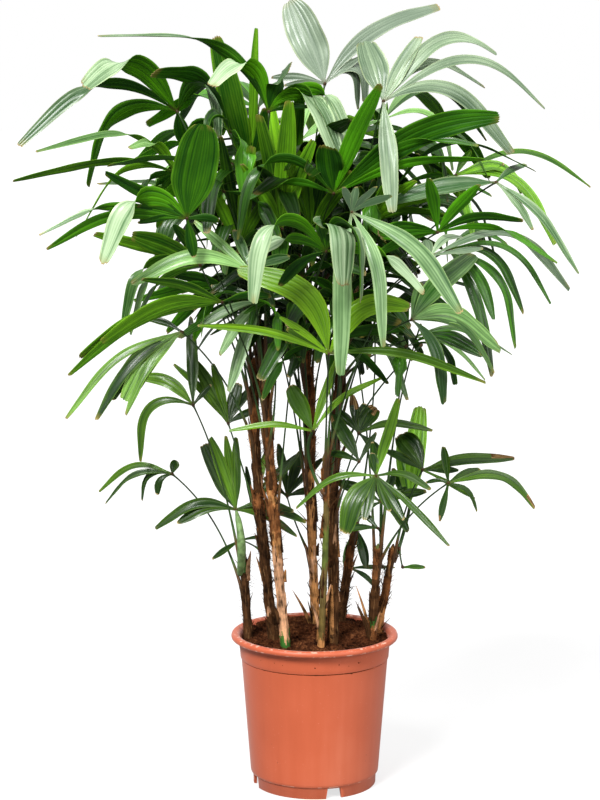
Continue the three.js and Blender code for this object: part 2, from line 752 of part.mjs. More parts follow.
function fanOfLeaflets(tier) {
  const leaflets = [];
  for (let i = 0; i < tier.leaflets; i += 1) {
    const place = i / (tier.leaflets - 1) - 0.5;
    const share = 1 - 0.45 * Math.abs(place) * 2;
    leaflets.push([
      90 + farSide.fan * place + (random() - 0.5) * 12,
      tier.length * share * (0.85 + random() * 0.3),
      tier.width * (0.5 + random() * 0.55) * (0.6 + share * 0.4),
      45 + random() * 70,
    ]);
  }
  return leaflets;
}

function addFarFronds() {
  for (let i = 0; i < farSide.groups; i += 1) {
    const name = `frond_${50 + i}`;
    const lift = (((i * 3) % farSide.groups) / (farSide.groups - 1) - 0.5) * farSide.heightSpread;
    farSide.tiers.forEach((tier, k) => {
      const side = farSide.firstBearing + farSide.bearingStep * i + farSide.tierTurn * k;
      const height = tier.height + lift;
      const hub = [Math.sin(rad(side)) * tier.reach, -Math.cos(rad(side)) * tier.reach, height];
      const root = k === 0 ? { canes: nearestCanes(hub), from: height - 240 } : { joins: name };
      const frond = { ...root, hub, side, face: [180, 40 + random() * 20] };
      frond.leaflets = fanOfLeaflets(tier);
      fronds[k === 0 ? name : `${name}_${k}`] = frond;
    });
  }
}

// ---------------------------------------------------------------- growing the crown
const placed = [];

function isClear(piece, owners) {
  return placed.every((other) => owners.includes(other.owner) || !touches(piece, other.piece));
}

function place(piece, owner) {
  placed.push({ piece, owner });
}

function placeCanes() {
  for (const [name, cane] of Object.entries(canes)) {
    const curve = caneCurve(cane);
    const points = curve.getPoints(caneSpans * 3);
    const radii = points.map((p, i) => caneRadius(cane, i / (caneSpans * 3)));
    place(pieceOf(stemSlabs(points, radii), false), name);
  }
}

function growStalk(name, frond) {
  const group = frond.joins ?? name;
  const host = fronds[frond.joins];
  if (host && !host.stalk) {
    return;
  }
  const spots = host ? joinTries.filter((spot) => !host.taken.includes(spot)) : fromTries;
  const radii = new Array(stalkSteps).fill(stalkRadius);
  const knot = slab(frond.hub, vec(1, 0, 0), vec(0, 1, 0), hubRoom * 2, hubRoom, hubRoom);
  for (const cane of frond.canes ?? [frond.cane]) {
    for (const spot of spots) {
      for (const bow of bowTries) {
        const path = stalkPath(frond, cane, spot, bow);
        const slabs = [...stemSlabs(path, radii), knot];
        const free = pieceOf(slabs.slice(rootSteps), false);
        if (isClear(pieceOf(slabs, false), [group, cane]) && isClear(free, [group])) {
          frond.stalk = path;
          frond.taken = [];
          host?.taken.push(spot);
          place(pieceOf(slabs, false), group);
          return;
        }
      }
    }
  }
}

function growLeaflets(name, frond) {
  const group = frond.joins ?? name;
  frond.blades = [];
  for (const leaflet of frond.leaflets) {
    const clear = firstClear(frond, leaflet, group);
    if (clear) {
      frond.blades.push({ stations: clear, leaflet });
      place(leafPiece(clear, leaflet[1]), group);
    }
  }
}

// A leaflet that would touch another piece leans or turns a little, and is left out if it must.
function firstClear(frond, leaflet, group) {
  for (const turnMore of turnTries) {
    for (const leanMore of leanTries) {
      const stations = leafStations(frond, leaflet, turnMore, leanMore);
      if (isClear(leafPiece(stations, leaflet[1]), [group])) {
        return stations;
      }
    }
  }
  return null;
}

function makeFrond(name) {
  const parts = [];
  for (const [other, frond] of Object.entries(fronds)) {
    if ((frond.joins ?? other) === name && frond.stalk) {
      parts.push(stalkSolid(frond.stalk), hubSolid(frond));
      frond.blades.forEach(({ stations, leaflet }) => parts.push(leafSolid(stations, leaflet)));
    }
  }
  const bodies = wasm.Manifold.union(parts).simplify(smallest).decompose();
  return geometryOf(bodies.reduce((a, b) => (a.volume() > b.volume() ? a : b)));
}

// ---------------------------------------------------------------- the plant
add('pot', makePot(), 0xc8694b, 0.55);
add('soil', makeSoil(), 0x3a2319, 0.95);
for (const [name, cane] of Object.entries(canes)) {
  add(name, makeCane(cane), 0x5b4230, 0.85);
}

addFarFronds();
for (const frond of Object.values(fronds)) {
  frond.hub = vec(...frond.hub);
}
placeCanes();
for (const [name, frond] of Object.entries(fronds)) {
  growStalk(name, frond);
}
for (const [name, frond] of Object.entries(fronds)) {
  if (frond.stalk) {
    growLeaflets(name, frond);
  }
}
for (const [name, frond] of Object.entries(fronds)) {
  if (!frond.joins && frond.stalk) {
    add(name, makeFrond(name), 0x2f7a2c, 0.5);
  }
}

export default palm;
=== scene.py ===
import math
import random

import bmesh
import bpy
import numpy as np
from mathutils import Matrix, Vector, kdtree, noise


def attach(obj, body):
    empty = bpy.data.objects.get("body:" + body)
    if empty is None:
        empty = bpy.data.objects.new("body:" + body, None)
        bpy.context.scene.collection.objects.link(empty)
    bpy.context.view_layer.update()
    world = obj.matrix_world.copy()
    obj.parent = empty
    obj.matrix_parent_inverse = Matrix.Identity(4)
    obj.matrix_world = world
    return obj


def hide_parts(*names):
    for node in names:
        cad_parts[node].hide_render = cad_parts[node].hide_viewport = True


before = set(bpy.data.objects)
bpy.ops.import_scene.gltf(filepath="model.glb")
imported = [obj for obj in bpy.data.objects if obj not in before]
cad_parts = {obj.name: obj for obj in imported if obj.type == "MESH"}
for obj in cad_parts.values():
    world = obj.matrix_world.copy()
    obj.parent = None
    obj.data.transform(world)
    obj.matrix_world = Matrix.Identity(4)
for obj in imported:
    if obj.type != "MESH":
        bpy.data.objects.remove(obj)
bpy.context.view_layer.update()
scene = bpy.context.scene
turn = 2 * math.pi
metres = 0.001
print("frame loaded:", len(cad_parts), "nodes")


def nodeAdder(tree):
    # adds a node, wires or sets its inputs, and sets what else it has
    def add(kind, inputs=None, **settings):
        made = tree.nodes.new(kind)
        for key, value in settings.items():
            setattr(made, key, value)
        for key, value in (inputs or {}).items():
            if hasattr(value, "links"):
                tree.links.new(value, made.inputs[key])
            else:
                made.inputs[key].default_value = value
        return made
    return add


def tinted(color, times, more=(0, 0, 0)):
    # a colour made brighter or darker, with a little of another added
    return tuple(min(1, c * times + m) for c, m in zip(color, more))


class paintKit:
    # a new material and the nodes it is mixed from
    def __init__(self, name, values):
        self.material = bpy.data.materials.new(name)
        self.material.use_nodes = True
        self.add = nodeAdder(self.material.node_tree)
        self.shader = self.material.node_tree.nodes["Principled BSDF"]
        for socket, value in values.items():
            self.shader.inputs[socket].default_value = value

    def wire(self, output, socket):
        self.material.node_tree.links.new(output, self.shader.inputs[socket])

    def place(self):
        return self.add("ShaderNodeTexCoord").outputs["Object"]

    def uv(self, layer):
        return self.add("ShaderNodeUVMap", uv_map=layer).outputs["UV"]

    def parts(self, vector):
        return self.add("ShaderNodeSeparateXYZ", {0: vector}).outputs

    def noise(self, vector, size, detail, rough=0.5, stretch=None):
        if stretch:
            vector = self.add("ShaderNodeMapping", {"Vector": vector, "Scale": stretch}).outputs["Vector"]
        return self.add("ShaderNodeTexNoise", {"Vector": vector, "Scale": size, "Detail": detail,
                                               "Roughness": rough}).outputs["Fac"]

    def maths(self, how, *values):
        return self.add("ShaderNodeMath", dict(enumerate(values)), operation=how).outputs[0]

    def band(self, value, low, high, start=0.0, end=1.0):
        return self.add("ShaderNodeMapRange", {"Value": value, "From Min": low, "From Max": high,
                                               "To Min": start, "To Max": end}).outputs["Result"]

    def weighed(self, *parts):
        # a sum of values, each times its weight
        total = 0.0
        for value, weight in parts:
            total = self.maths("MULTIPLY_ADD", value, weight, total)
        return total

    def mix(self, share, one, other):
        return self.add("ShaderNodeMix", {"Factor": share, "A": one, "B": other}).outputs["Result"]

    def blend(self, share, under, over, how="MIX"):
        over = (*over, 1) if isinstance(over, tuple) else over
        return self.add("ShaderNodeMix", {"Factor": share, "A": under, "B": over}, data_type="RGBA",
                        blend_type=how).outputs["Result"]

    def ramp(self, factor, *stops):
        made = self.add("ShaderNodeValToRGB", {"Fac": factor})
        band = made.color_ramp
        while len(band.elements) < len(stops):
            band.elements.new(0.5)
        for element, (place, color) in zip(band.elements, stops):
            element.position = place
            element.color = (*color, 1)
        return made.outputs["Color"]

    def bump(self, height, strength, distance):
        made = self.add("ShaderNodeBump", {"Strength": strength, "Distance": distance, "Height": height})
        self.wire(made.outputs["Normal"], "Normal")


# where the camera stands, how far it looks down, and the lights; strengths are shares of plain white
camera = {"place": (-21, -3000, 984), "pitch": 8.06, "lens": 95.94, "sensor": 36, "reach": 100}
studio = {"overhead": 1.5, "behind": 0.7, "front": 0.1, "below": 0.03, "floorColor": 0.97,
          "floorBounce": 0.24, "floorGlow": 0.72, "floorReach": 60, "lampDistance": 4,
          "key": {"bearing": -28, "height": 44, "strength": 4.2, "angle": 18},
          "fill": {"bearing": 48, "height": 20, "strength": 1.5, "angle": 40}}


def addObject(name, data):
    made = bpy.data.objects.new(name, data)
    scene.collection.objects.link(made)
    return made


def shadeSmooth(mesh):
    mesh.polygons.foreach_set("use_smooth", [True] * len(mesh.polygons))


def makeCamera():
    data = bpy.data.cameras.new("camera")
    data.lens = camera["lens"]
    data.sensor_width = camera["sensor"]
    data.clip_end = camera["reach"]
    eye = addObject("camera", data)
    eye.location = Vector(camera["place"]) * metres
    eye.rotation_euler = (math.radians(90 - camera["pitch"]), 0, 0)
    scene.camera = eye


def makeSoftLight(name, light):
    data = bpy.data.lights.new(name, "SUN")
    data.energy = light["strength"]
    data.angle = math.radians(light["angle"])
    lamp = addObject(name, data)
    around, height = math.radians(light["bearing"]), math.radians(light["height"])
    level = math.cos(height)
    towards = Vector((math.sin(around) * level, -math.cos(around) * level, math.sin(height)))
    lamp.location = towards * studio["lampDistance"]
    lamp.rotation_euler = (-towards).to_track_quat("-Z", "Y").to_euler()


def makeSky():
    # a white backdrop to look at, and a studio that is brightest overhead for what it lights
    world = bpy.data.worlds.new("studio")
    world.use_nodes = True
    nodes = world.node_tree.nodes
    add = nodeAdder(world.node_tree)
    seen = nodes["Background"]
    seen.inputs["Color"].default_value = (1, 1, 1, 1)
    parts = add("ShaderNodeSeparateXYZ", {0: add("ShaderNodeTexCoord").outputs["Generated"]}).outputs
    rise = add("ShaderNodeMapRange", {"Value": parts["Z"], "From Min": 0.15, "From Max": 0.85,
                                      "To Min": studio["below"], "To Max": studio["overhead"]})
    back = add("ShaderNodeMapRange", {"Value": parts["Y"], "From Min": -0.1, "From Max": 0.9,
                                      "To Min": studio["front"], "To Max": studio["behind"]})
    most = add("ShaderNodeMath", {0: rise.outputs["Result"], 1: back.outputs["Result"]}, operation="MAXIMUM")
    lit = add("ShaderNodeBackground", {"Strength": most.outputs[0]})
    looked = add("ShaderNodeLightPath").outputs["Is Camera Ray"]
    pick = add("ShaderNodeMixShader", {"Fac": looked, 1: lit.outputs[0], 2: seen.outputs[0]})
    world.node_tree.links.new(pick.outputs[0], nodes["World Output"].inputs["Surface"])
    scene.world = world
    scene.view_settings.view_transform = "Standard"


def makeFloor():
    # plain white to look at, and dim for what it lights
    kit = paintKit("floorPaint", {"Emission Color": (1, 1, 1, 1), "Roughness": 0.85,
                                  "Specular IOR Level": 0.0})
    looked = kit.add("ShaderNodeLightPath").outputs["Is Camera Ray"]
    kit.wire(kit.mix(looked, studio["floorBounce"], studio["floorColor"] - studio["floorGlow"]), "Base Color")
    kit.wire(kit.maths("MULTIPLY", looked, studio["floorGlow"]), "Emission Strength")
    mesh = bpy.data.meshes.new("floor")
    reach = studio["floorReach"]
    mesh.from_pydata([(-reach, -reach, 0), (reach, -reach, 0), (reach, reach, 0), (-reach, reach, 0)],
                     [], [(0, 1, 2, 3)])
    mesh.materials.append(kit.material)
    floor = addObject("floor", mesh)


# a cane's radii at its foot and its tip, and the points it runs through; the first stands on the soil
canes = {
    "cane_1": {"foot": 6.5, "tip": 4, "points": [(-95, 10), (-101, 10, 300), (-103, 10, 340)]},
    "cane_2": {"foot": 7, "tip": 5.5, "points": [(-59, 0), (-78, 0, 396), (-84, 0, 500), (-86, 4, 620)]},
    "cane_3": {"foot": 8, "tip": 5.5,
               "points": [(-42, -26), (-58, -22, 396), (-66, -16, 516), (-76, -10, 650)]},
    "cane_4": {"foot": 7.5, "tip": 5.5,
               "points": [(2, 60), (-6, 60, 416), (-6, 56, 516), (-15, 48, 640), (-26, 40, 760)]},
    "cane_5": {"foot": 5.5, "tip": 4, "points": [(9, -27), (16, -34, 396), (14, -40, 490)]},
    "cane_6": {"foot": 7.5, "tip": 5.5,
               "points": [(27, -8), (27, 4, 396), (30, 10, 516), (38, 10, 620), (44, 8, 715)]},
    "cane_7": {"foot": 6.5, "tip": 4.5, "points": [(38, 78), (49, 50, 306), (61, 20, 386)]},
    "cane_8": {"foot": 6, "tip": 5, "points": [(84, 6), (88, 0, 300), (91, -6, 352)]},
    "cane_9": {"foot": 6.5, "tip": 4.5, "points": [(91, 28), (105, 26, 286), (114, 22, 346)]},
}
caneStart = 208.3  # just clear of the soil
tallCanes = ("cane_2", "cane_3", "cane_4", "cane_6")
up = Vector((0, 0, 1))


def curvePoint(points, share):
    # centripetal Catmull-Rom through the points
    last = len(points) - 1
    at = last * min(max(share, 0), 1)
    i = min(int(at), last - 1)
    part = at - i
    p1, p2 = points[i], points[i + 1]
    p0 = points[i - 1] if i > 0 else p1 * 2 - p2
    p3 = points[i + 2] if i + 2 <= last else p2 * 2 - p1
    d0, d1, d2 = [max((b - a).length, 1e-6) ** 0.5 for a, b in ((p0, p1), (p1, p2), (p2, p3))]
    t1 = ((p1 - p0) / d0 - (p2 - p0) / (d0 + d1) + (p2 - p1) / d1) * d1
    t2 = ((p2 - p1) / d1 - (p3 - p1) / (d1 + d2) + (p3 - p2) / d2) * d1
    return (p1 + t1 * part + (p2 * 3 - p1 * 3 - t1 * 2 - t2) * part ** 2
            + (p1 * 2 - p2 * 2 + t1 + t2) * part ** 3)


def canePoints(cane):
    return [Vector((p[0], p[1], p[2] if len(p) == 3 else caneStart)) for p in cane["points"]]


def caneTop(name):
    return canes[name]["points"][-1][2]


def caneRadius(cane, share):
    return cane["foot"] + (cane["tip"] - cane["foot"]) * share


def caneAt(cane, height):
    points = canePoints(cane)
    low, high = 0.0, 1.0
    for _ in range(24):
        share = (low + high) / 2
        if curvePoint(points, share).z < height:
            low = share
        else:
            high = share
    return curvePoint(points, share), caneRadius(cane, share)


def heading(start, end):
    # the level direction from one point towards another
    return Vector((end.x - start.x, end.y - start.y, 0)).normalized()


# The fronds by number: what carries it, its hub, its face and its leaflets. A cane and a height on it carry
# it, or the stalk of another frond. The hub is where its leaflets meet, and the face is the bearing and tilt
# that its upper side looks to. A leaflet is (turn, length, width, bend, bendAt), and bendAt may be left out.
frondTable = {
    1: ((4, 735), (14, 30, 1004), (0, 16), [(110, 134, 50, 6), (54, 216, 23, 36), (42, 66, 10, 10),
        (50, 105, 15, 150), (162, 78, 12, 20), (174, 58, 9, 15)]),
    2: ((6, 700), (92, -85, 980), (0, 20), [(104, 94, 42, 8), (64, 113, 20, 25), (51, 214, 20, 76, 0.6),
        (54, 188, 16, 78), (35, 270, 14, 76, 0.5), (25, 224, 21, 76, 0.38), (275, 158, 25, 4)]),
    3: ((4, 690), (25, -75, 855), (180, 24), [(38, 258, 38, 34, 0.6), (71, 180, 26, 8), (98, 76, 40, 5),
        (134, 232, 16, 122, 0.45), (157, 140, 13, 50), (26, 216, 14, 26, 0.5), (37, 220, 13, 48, 0.6)]),
    4: ((3, 620), (-64, -30, 966), (180, 12), [(115, 292, 20, 64, 0.35), (104, 150, 26, 112, 0.5),
        (56, 186, 27, 124, 0.3), (80, 84, 28, 40), (38, 160, 24, 105, 0.45), (15, 56, 10, 15)]),
    5: ((3, 600), (-194, 30, 966), (180, 26), [(124, 190, 36, 90, 0.55), (147, 264, 20, 74, 0.4),
        (166, 200, 28, 88, 0.38), (62, 165, 30, 130, 0.45), (280, 52, 22, 0)]),
    6: ((2, 600), (-191, -55, 882), (180, 30), [(155, 231, 15, 36, 0.25), (124, 250, 11, 60, 0.32),
        (116, 110, 15, 66, 0.5), (158, 188, 14, 80, 0.33), (180, 72, 14, 60), (202, 64, 14, 50),
        (226, 56, 13, 30), (60, 76, 14, 30)]),
    7: ((2, 585), (-170, -185, 827), (180, 12), [(81, 131, 58, 6), (132, 176, 32, 116, 0.36),
        (148, 124, 18, 4), (160, 68, 12, 10), (174, 66, 10, 20), (5, 44, 12, 15), (279, 55, 16, 0)]),
    8: ((3, 640), (-92, 40, 880), (180, 12), [(104, 200, 36, 0), (77, 98, 20, 5), (87, 206, 13, 0),
        (150, 46, 12, 10)]),
    9: ((4, 670), (-42, 60, 808), (180, 20), [(96, 190, 22, 5), (84, 200, 24, 5), (106, 170, 18, 5),
        (70, 150, 18, 10), (120, 140, 20, 10), (50, 120, 18, 20)]),
    10: ((4, 640), (13, -232, 787), (180, 28), [(128, 205, 24, 130), (72, 180, 34, 150, 0.38),
        (95, 90, 26, 60), (200, 80, 16, 30), (8, 150, 22, 55), (150, 120, 18, 60)]),
    11: ((6, 690), (46, -240, 838), (0, 44), [(338, 202, 24, 35), (300, 190, 19, 40), (259, 215, 25, 36),
        (105, 50, 11, 10), (80, 50, 11, 10), (50, 60, 12, 10), (30, 65, 12, 15)]),
    12: ((6, 590), (127, -185, 693), (20, 45), [(49, 196, 30, 15), (14, 168, 38, 50, 0.38),
        (2, 160, 18, 58, 0.4), (322, 128, 22, 50, 0.35), (75, 90, 15, 20)]),
    13: ((6, 660), (166, -105, 804), (180, 30), [(100, 95, 18, 10), (57, 98, 17, 10), (30, 124, 15, 36),
        (12, 176, 12, 46), (168, 85, 26, 25), (190, 95, 13, 20)]),
    14: ((6, 630), (154, -150, 775), (0, 55), [(20, 282, 18, 62, 0.5), (48, 120, 14, 30), (10, 75, 10, 5),
        (100, 50, 14, 10)]),
    15: ((6, 645), (187, -30, 775), (0, 35), [(302, 195, 17, 30), (322, 122, 17, 35),
        (342, 182, 14, 62, 0.38), (10, 165, 16, 76, 0.34), (13, 190, 10, 72), (40, 110, 15, 60)]),
    17: ((6, 705), (197, 0, 877), (0, 45), [(8, 200, 20, 72, 0.4), (25, 243, 11, 56, 0.48), (18, 76, 11, 10),
        (15, 120, 20, 80, 0.6), (290, 106, 14, 20), (60, 60, 12, 10)]),
    18: ((6, 675), (245, -95, 871), (0, 40), [(183, 150, 28, 14), (328, 174, 14, 28), (318, 88, 13, 20),
        (40, 60, 12, 20)]),
    20: ((5, 470), (17, -205, 650), (0, 10), [(102, 185, 34, 65), (60, 142, 28, 72, 0.55), (147, 66, 13, 5),
        (157, 180, 11, 20), (138, 82, 10, 10), (6, 215, 12, 28)]),
    21: ((5, 430), (-3, -60, 524), (0, 20), [(118, 74, 25, 0), (167, 120, 9, 24), (52, 135, 9, 30),
        (73, 115, 12, 5)]),
    22: ((2, 560), (-159, -60, 756), (180, 30), [(158, 155, 20, 8), (146, 110, 30, 15),
        (162, 174, 18, 95, 0.4), (171, 162, 15, 85, 0.36), (196, 130, 13, 45), (115, 80, 16, 10)]),
    23: ((3, 560), (-87, -150, 755), (0, 30), [(157, 172, 22, 52), (140, 108, 13, 0), (30, 60, 14, 20),
        (320, 60, 12, 30), (110, 70, 14, 10)]),
    24: ((2, 545), (-124, 0, 720), (180, 30), [(160, 80, 20, 10), (180, 135, 14, 15), (172, 115, 12, 25),
        (195, 75, 12, 10), (75, 70, 16, 5)]),
    25: ((3, 535), (-125, -160, 714), (180, 35), [(176, 178, 27, 40), (186, 240, 15, 35), (150, 120, 16, 20),
        (20, 70, 14, 20)]),
    26: ((2, 505), (-183, -95, 667), (0, 30), [(214, 128, 28, 28), (202, 140, 20, 38), (196, 205, 12, 36),
        (206, 174, 16, 34), (220, 142, 14, 28), (150, 60, 12, 20)]),
    27: ((1, 322), (-173, 0, 552), (0, 20), [(92, 132, 17, 3), (133, 100, 18, 48, 0.5),
        (163, 148, 14, 104, 0.38), (50, 40, 8, 5)]),
    28: ((2, 400), (-124, 20, 523), (0, 20), [(117, 105, 20, 5), (104, 92, 14, 5), (76, 62, 20, 3),
        (30, 50, 12, 10)]),
    29: ((1, 336), (-113, 8, 399), (0, 10), [(98, 108, 14, 0), (90, 105, 14, 0), (118, 128, 27, 5),
        (8, 108, 14, 35), (352, 100, 12, 30)]),
    30: ((1, 308), (-205, 20, 449), (0, 40), [(160, 130, 10, 62), (172, 118, 11, 58), (170, 75, 13, 92),
        (195, 42, 11, 70), (75, 24, 14, 0)]),
    32: ((2, 320), (-91, 40, 397), (0, 15), [(76, 88, 12, 3), (52, 105, 16, 8), (98, 60, 8, 0)]),
    31: (32, (-106, 30, 350), (0, 40), [(200, 58, 9, 10), (10, 36, 6, 5)]),
    33: ((4, 330), (-40, 70, 407), (0, 15), [(73, 72, 17, 3), (140, 45, 11, 5), (20, 50, 12, 20)]),
    34: ((7, 378), (83, -125, 472), (0, 45), [(215, 98, 28, 45), (70, 138, 15, 0), (310, 78, 13, 10),
        (10, 85, 13, 45), (175, 128, 12, 50), (325, 145, 10, 10), (100, 40, 14, 0)]),
    35: ((8, 340), (95, 0, 412), (0, 30), [(62, 48, 14, 3), (103, 42, 12, 3), (30, 44, 10, 5)]),
    38: (35, (90, -10, 376), (0, 30), [(175, 56, 11, 15), (135, 34, 9, 0)]),
    36: ((9, 335), (153, -20, 462), (0, 25), [(112, 70, 34, 30), (16, 136, 17, 18), (2, 52, 11, 5),
        (335, 85, 8, 5)]),
    44: ((9, 320), (137, 14, 405), (0, 15), [(84, 146, 30, 3), (100, 88, 18, 3), (116, 60, 14, 0)]),
    40: (44, (127, 10, 314), (0, 40), [(5, 34, 9, 10)]),
    37: ((8, 328), (186, -70, 452), (0, 50), [(95, 68, 12, 0), (12, 150, 18, 62, 0.5), (350, 62, 11, 60),
        (250, 68, 10, 5), (165, 34, 7, 30)]),
    39: ((7, 330), (62, 90, 356), (0, 20), [(250, 64, 16, 10), (288, 62, 16, 10)]),
    41: (39, (54, 112, 290), (0, 50), [(5, 68, 10, 10), (340, 50, 10, 25)]),
    42: ((6, 420), (62, -20, 515), (0, 30), [(100, 60, 14, 0), (60, 50, 26, 15), (20, 112, 12, 35),
        (320, 52, 14, 5)]),
    43: ((6, 395), (62, -55, 480), (0, 25), [(118, 80, 22, 5), (60, 50, 9, 5), (160, 60, 12, 20)]),
    45: ((6, 560), (53, 20, 671), (0, 50), [(328, 145, 13, 40), (336, 110, 15, 10), (5, 120, 13, 70)]),
    16: (45, (141, 20, 647), (0, 60), [(168, 65, 10, 10), (15, 175, 12, 45), (355, 125, 10, 45),
        (15, 55, 10, 10)]),
    46: ((3, 480), (-74, -34, 704), (0, 40), [(218, 112, 15, 20), (245, 140, 18, 10), (20, 80, 18, 20)]),
}

frondRule = {"stalkRadius": 2.3, "rootShare": 0.05, "fullWidthAt": 0.5, "taperFrom": 0.7, "tipTaper": 0.4,
             "steepLean": 60, "steepest": -88, "usualBend": 0.42, "bendSpread": 0.7, "leafSteps": 36,
             "kneeReach": 0.36, "kneeRise": 0.62, "belowTip": 10, "standOff": 1.45, "intoCane": 0.95}
# what the rule tries in turn, until a piece is clear: leans, turns, places on the cane or the stalk, and bows
leanTries = (0, 7, -7, 14, -14, 22, -22, 30, -30)
turnTries = (0, 7, -7)
fromTries = (0, -10, 10, -20, 20, -30, 32, -42, -56, -70, -85, -100, -120, -140, -165)
joinTries = (4 / 20, 7 / 20, 10 / 20)
bowTries = (0, 18, -18, 36, -36, 60, -60)
# how far off its solid a stalk or a leaflet's tip may lie and still be taken for it
nearEnough = {"stalk": 8, "leaflet": 3.5, "sure": 0.5, "ringsAt": (7 / 20, 13 / 20)}

# the crown's far side: groups of fronds, each of one main frond and two more that hang on its stalk
farSide = {"groups": 8, "firstNumber": 50, "firstBearing": 62, "bearingStep": 32, "tierTurn": 15,
           "heightSpread": 110, "fan": 205, "below": 240, "seed": 7,
           "tiers": [{"height": 915, "reach": 122, "leaflets": 6, "length": 220, "width": 36},
                     {"height": 835, "reach": 146, "leaflets": 5, "length": 200, "width": 37},
                     {"height": 690, "reach": 130, "leaflets": 5, "length": 160, "width": 31}]}


def chances(seed):
    # the same run of random numbers as the solids take
    while True:
        seed = (seed * 1664525 + 1013904223) % 4294967296
        yield seed / 4294967296


def frondName(number):
    return f"frond_{number:02d}"


def nearFronds():
    grown = {}
    for number, (carrier, hub, face, leaflets) in frondTable.items():
        frond = {"number": number, "hub": hub, "face": face, "leaflets": leaflets}
        if isinstance(carrier, int):
            frond["joins"] = frondName(carrier)
        else:
            frond.update(canes=(f"cane_{carrier[0]}",), fromHeight=carrier[1])
        grown[frondName(number)] = frond
    return grown


def fanOfLeaflets(tier, chance):
    made = []
    for i in range(tier["leaflets"]):
        spot = i / (tier["leaflets"] - 1) - 0.5
        share = 1 - 0.45 * abs(spot) * 2
        angle = 90 + farSide["fan"] * spot + (next(chance) - 0.5) * 12
        length = tier["length"] * share * (0.85 + next(chance) * 0.3)
        width = tier["width"] * (0.5 + next(chance) * 0.55) * (0.6 + share * 0.4)
        made.append((angle, length, width, 45 + next(chance) * 70))
    return made


def farFronds():
    grown = {}
    chance = chances(farSide["seed"])
    for i in range(farSide["groups"]):
        name = frondName(farSide["firstNumber"] + i)
        spread = ((i * 3) % farSide["groups"]) / (farSide["groups"] - 1) - 0.5
        for k, tier in enumerate(farSide["tiers"]):
            side = farSide["firstBearing"] + farSide["bearingStep"] * i + farSide["tierTurn"] * k
            height = tier["height"] + spread * farSide["heightSpread"]
            around = math.radians(side)
            frond = {"hub": (math.sin(around) * tier["reach"], -math.cos(around) * tier["reach"], height),
                     "side": side, "face": (180, 40 + next(chance) * 20)}
            frond["leaflets"] = fanOfLeaflets(tier, chance)
            if k == 0:
                frond.update(canes=tallCanes, fromHeight=height - farSide["below"])
            else:
                frond["joins"] = name
            grown[name if k == 0 else f"{name}_{k}"] = frond
    return grown


fronds = {**nearFronds(), **farFronds()}


def leafStart(frond, angle, leanMore):
    bearing, tilt = [math.radians(a) for a in frond["face"]]
    side = Matrix.Rotation(math.radians(frond.get("side", 0)), 3, "Z")
    face = Vector((math.sin(bearing) * math.cos(tilt), -math.cos(bearing) * math.cos(tilt), math.sin(tilt)))
    angle = math.radians(angle)
    steepest = math.radians(frondRule["steepLean"])
    slope = math.atan((face.x * math.cos(angle) + face.z * math.sin(angle)) / face.y)
    lean = max(-steepest, min(steepest, slope)) + math.radians(leanMore)
    along = Vector((math.cos(angle) * math.cos(lean), -math.sin(lean), math.sin(angle) * math.cos(lean)))
    return side @ along, side @ face


def widthShare(share):
    if share < frondRule["fullWidthAt"]:
        root = frondRule["rootShare"]
        return root + (1 - root) * math.sin(math.pi / 2 * share / frondRule["fullWidthAt"])
    past = max(0, (share - frondRule["taperFrom"]) / (1 - frondRule["taperFrom"]))
    return 1 - frondRule["tipTaper"] * past * past


def bendPlace(leaflet):
    return leaflet[4] if len(leaflet) == 5 else frondRule["usualBend"]


def bendShare(share, spot):
    past = min(1, max(0, (share - spot) / frondRule["bendSpread"] + 0.5))
    return past * past * (3 - 2 * past)


def leafStations(frond, leaflet, turnMore=0, leanMore=0):
    # points, directions across and half widths from the root to the tip
    angle, length, width, bend = leaflet[:4]
    bendAt = bendPlace(leaflet)
    along, face = leafStart(frond, angle + turnMore, leanMore)
    level = math.hypot(along.x, along.y)
    outX, outY = along.x / level, along.y / level
    beside = Vector((outY, -outX, 0))
    rise = math.atan2(along.z, level)
    across = face.cross(along).normalized()
    lift = Vector((-outX * math.sin(rise), -outY * math.sin(rise), math.cos(rise)))
    upShare, besideShare = across.dot(lift), across.dot(beside)
    steps = frondRule["leafSteps"]
    shares = np.arange(steps + 1) / steps
    lowest = math.radians(frondRule["steepest"])
    angles = np.array([max(rise - math.radians(bend) * bendShare(s, bendAt), lowest) for s in shares])
    dirs = np.stack([outX * np.cos(angles), outY * np.cos(angles), np.sin(angles)], 1)
    rising = np.stack([-outX * np.sin(angles), -outY * np.sin(angles), np.cos(angles)], 1)
    wide = rising * upShare + np.array(beside) * besideShare
    points = np.array(frond["hub"]) + np.vstack([np.zeros(3), np.cumsum(dirs[:-1], 0)]) * length / steps
    half = np.array([width / 2 * widthShare(s) for s in shares])
    return points, wide, half


def bowedRun(start, knee, end, shares):
    return [start * (1 - t) ** 2 + knee * 2 * t * (1 - t) + end * t * t for t in shares]


def stalkCurve(start, hub, bow):
    # a bowed run from a foot to a hub, in the rule's spans
    out = Vector((hub.x - start.x, hub.y - start.y, 0))
    run = out.length
    out.normalize()
    knee = start + out * run * frondRule["kneeReach"] + up.cross(out) * bow
    knee.z += (hub.z - start.z) * frondRule["kneeRise"]
    return bowedRun(start, knee, hub, (0, 1 / 3, 2 / 3, 1))


def skinPoint(cane, height, end, into=1, off=0):
    # a point on a cane's skin, on the side that looks towards an end
    at, radius = caneAt(canes[cane], height)
    return at + heading(at, end) * (radius * into + off)


def stalkFoot(cane, height, hub):
    highest = caneTop(cane) - frondRule["belowTip"]
    return skinPoint(cane, min(height, highest), hub, frondRule["intoCane"], frondRule["standOff"])


def alongSpans(bends, share):
    at = share * (len(bends) - 1)
    i = min(int(at), len(bends) - 2)
    return bends[i].lerp(bends[i + 1], at - i)


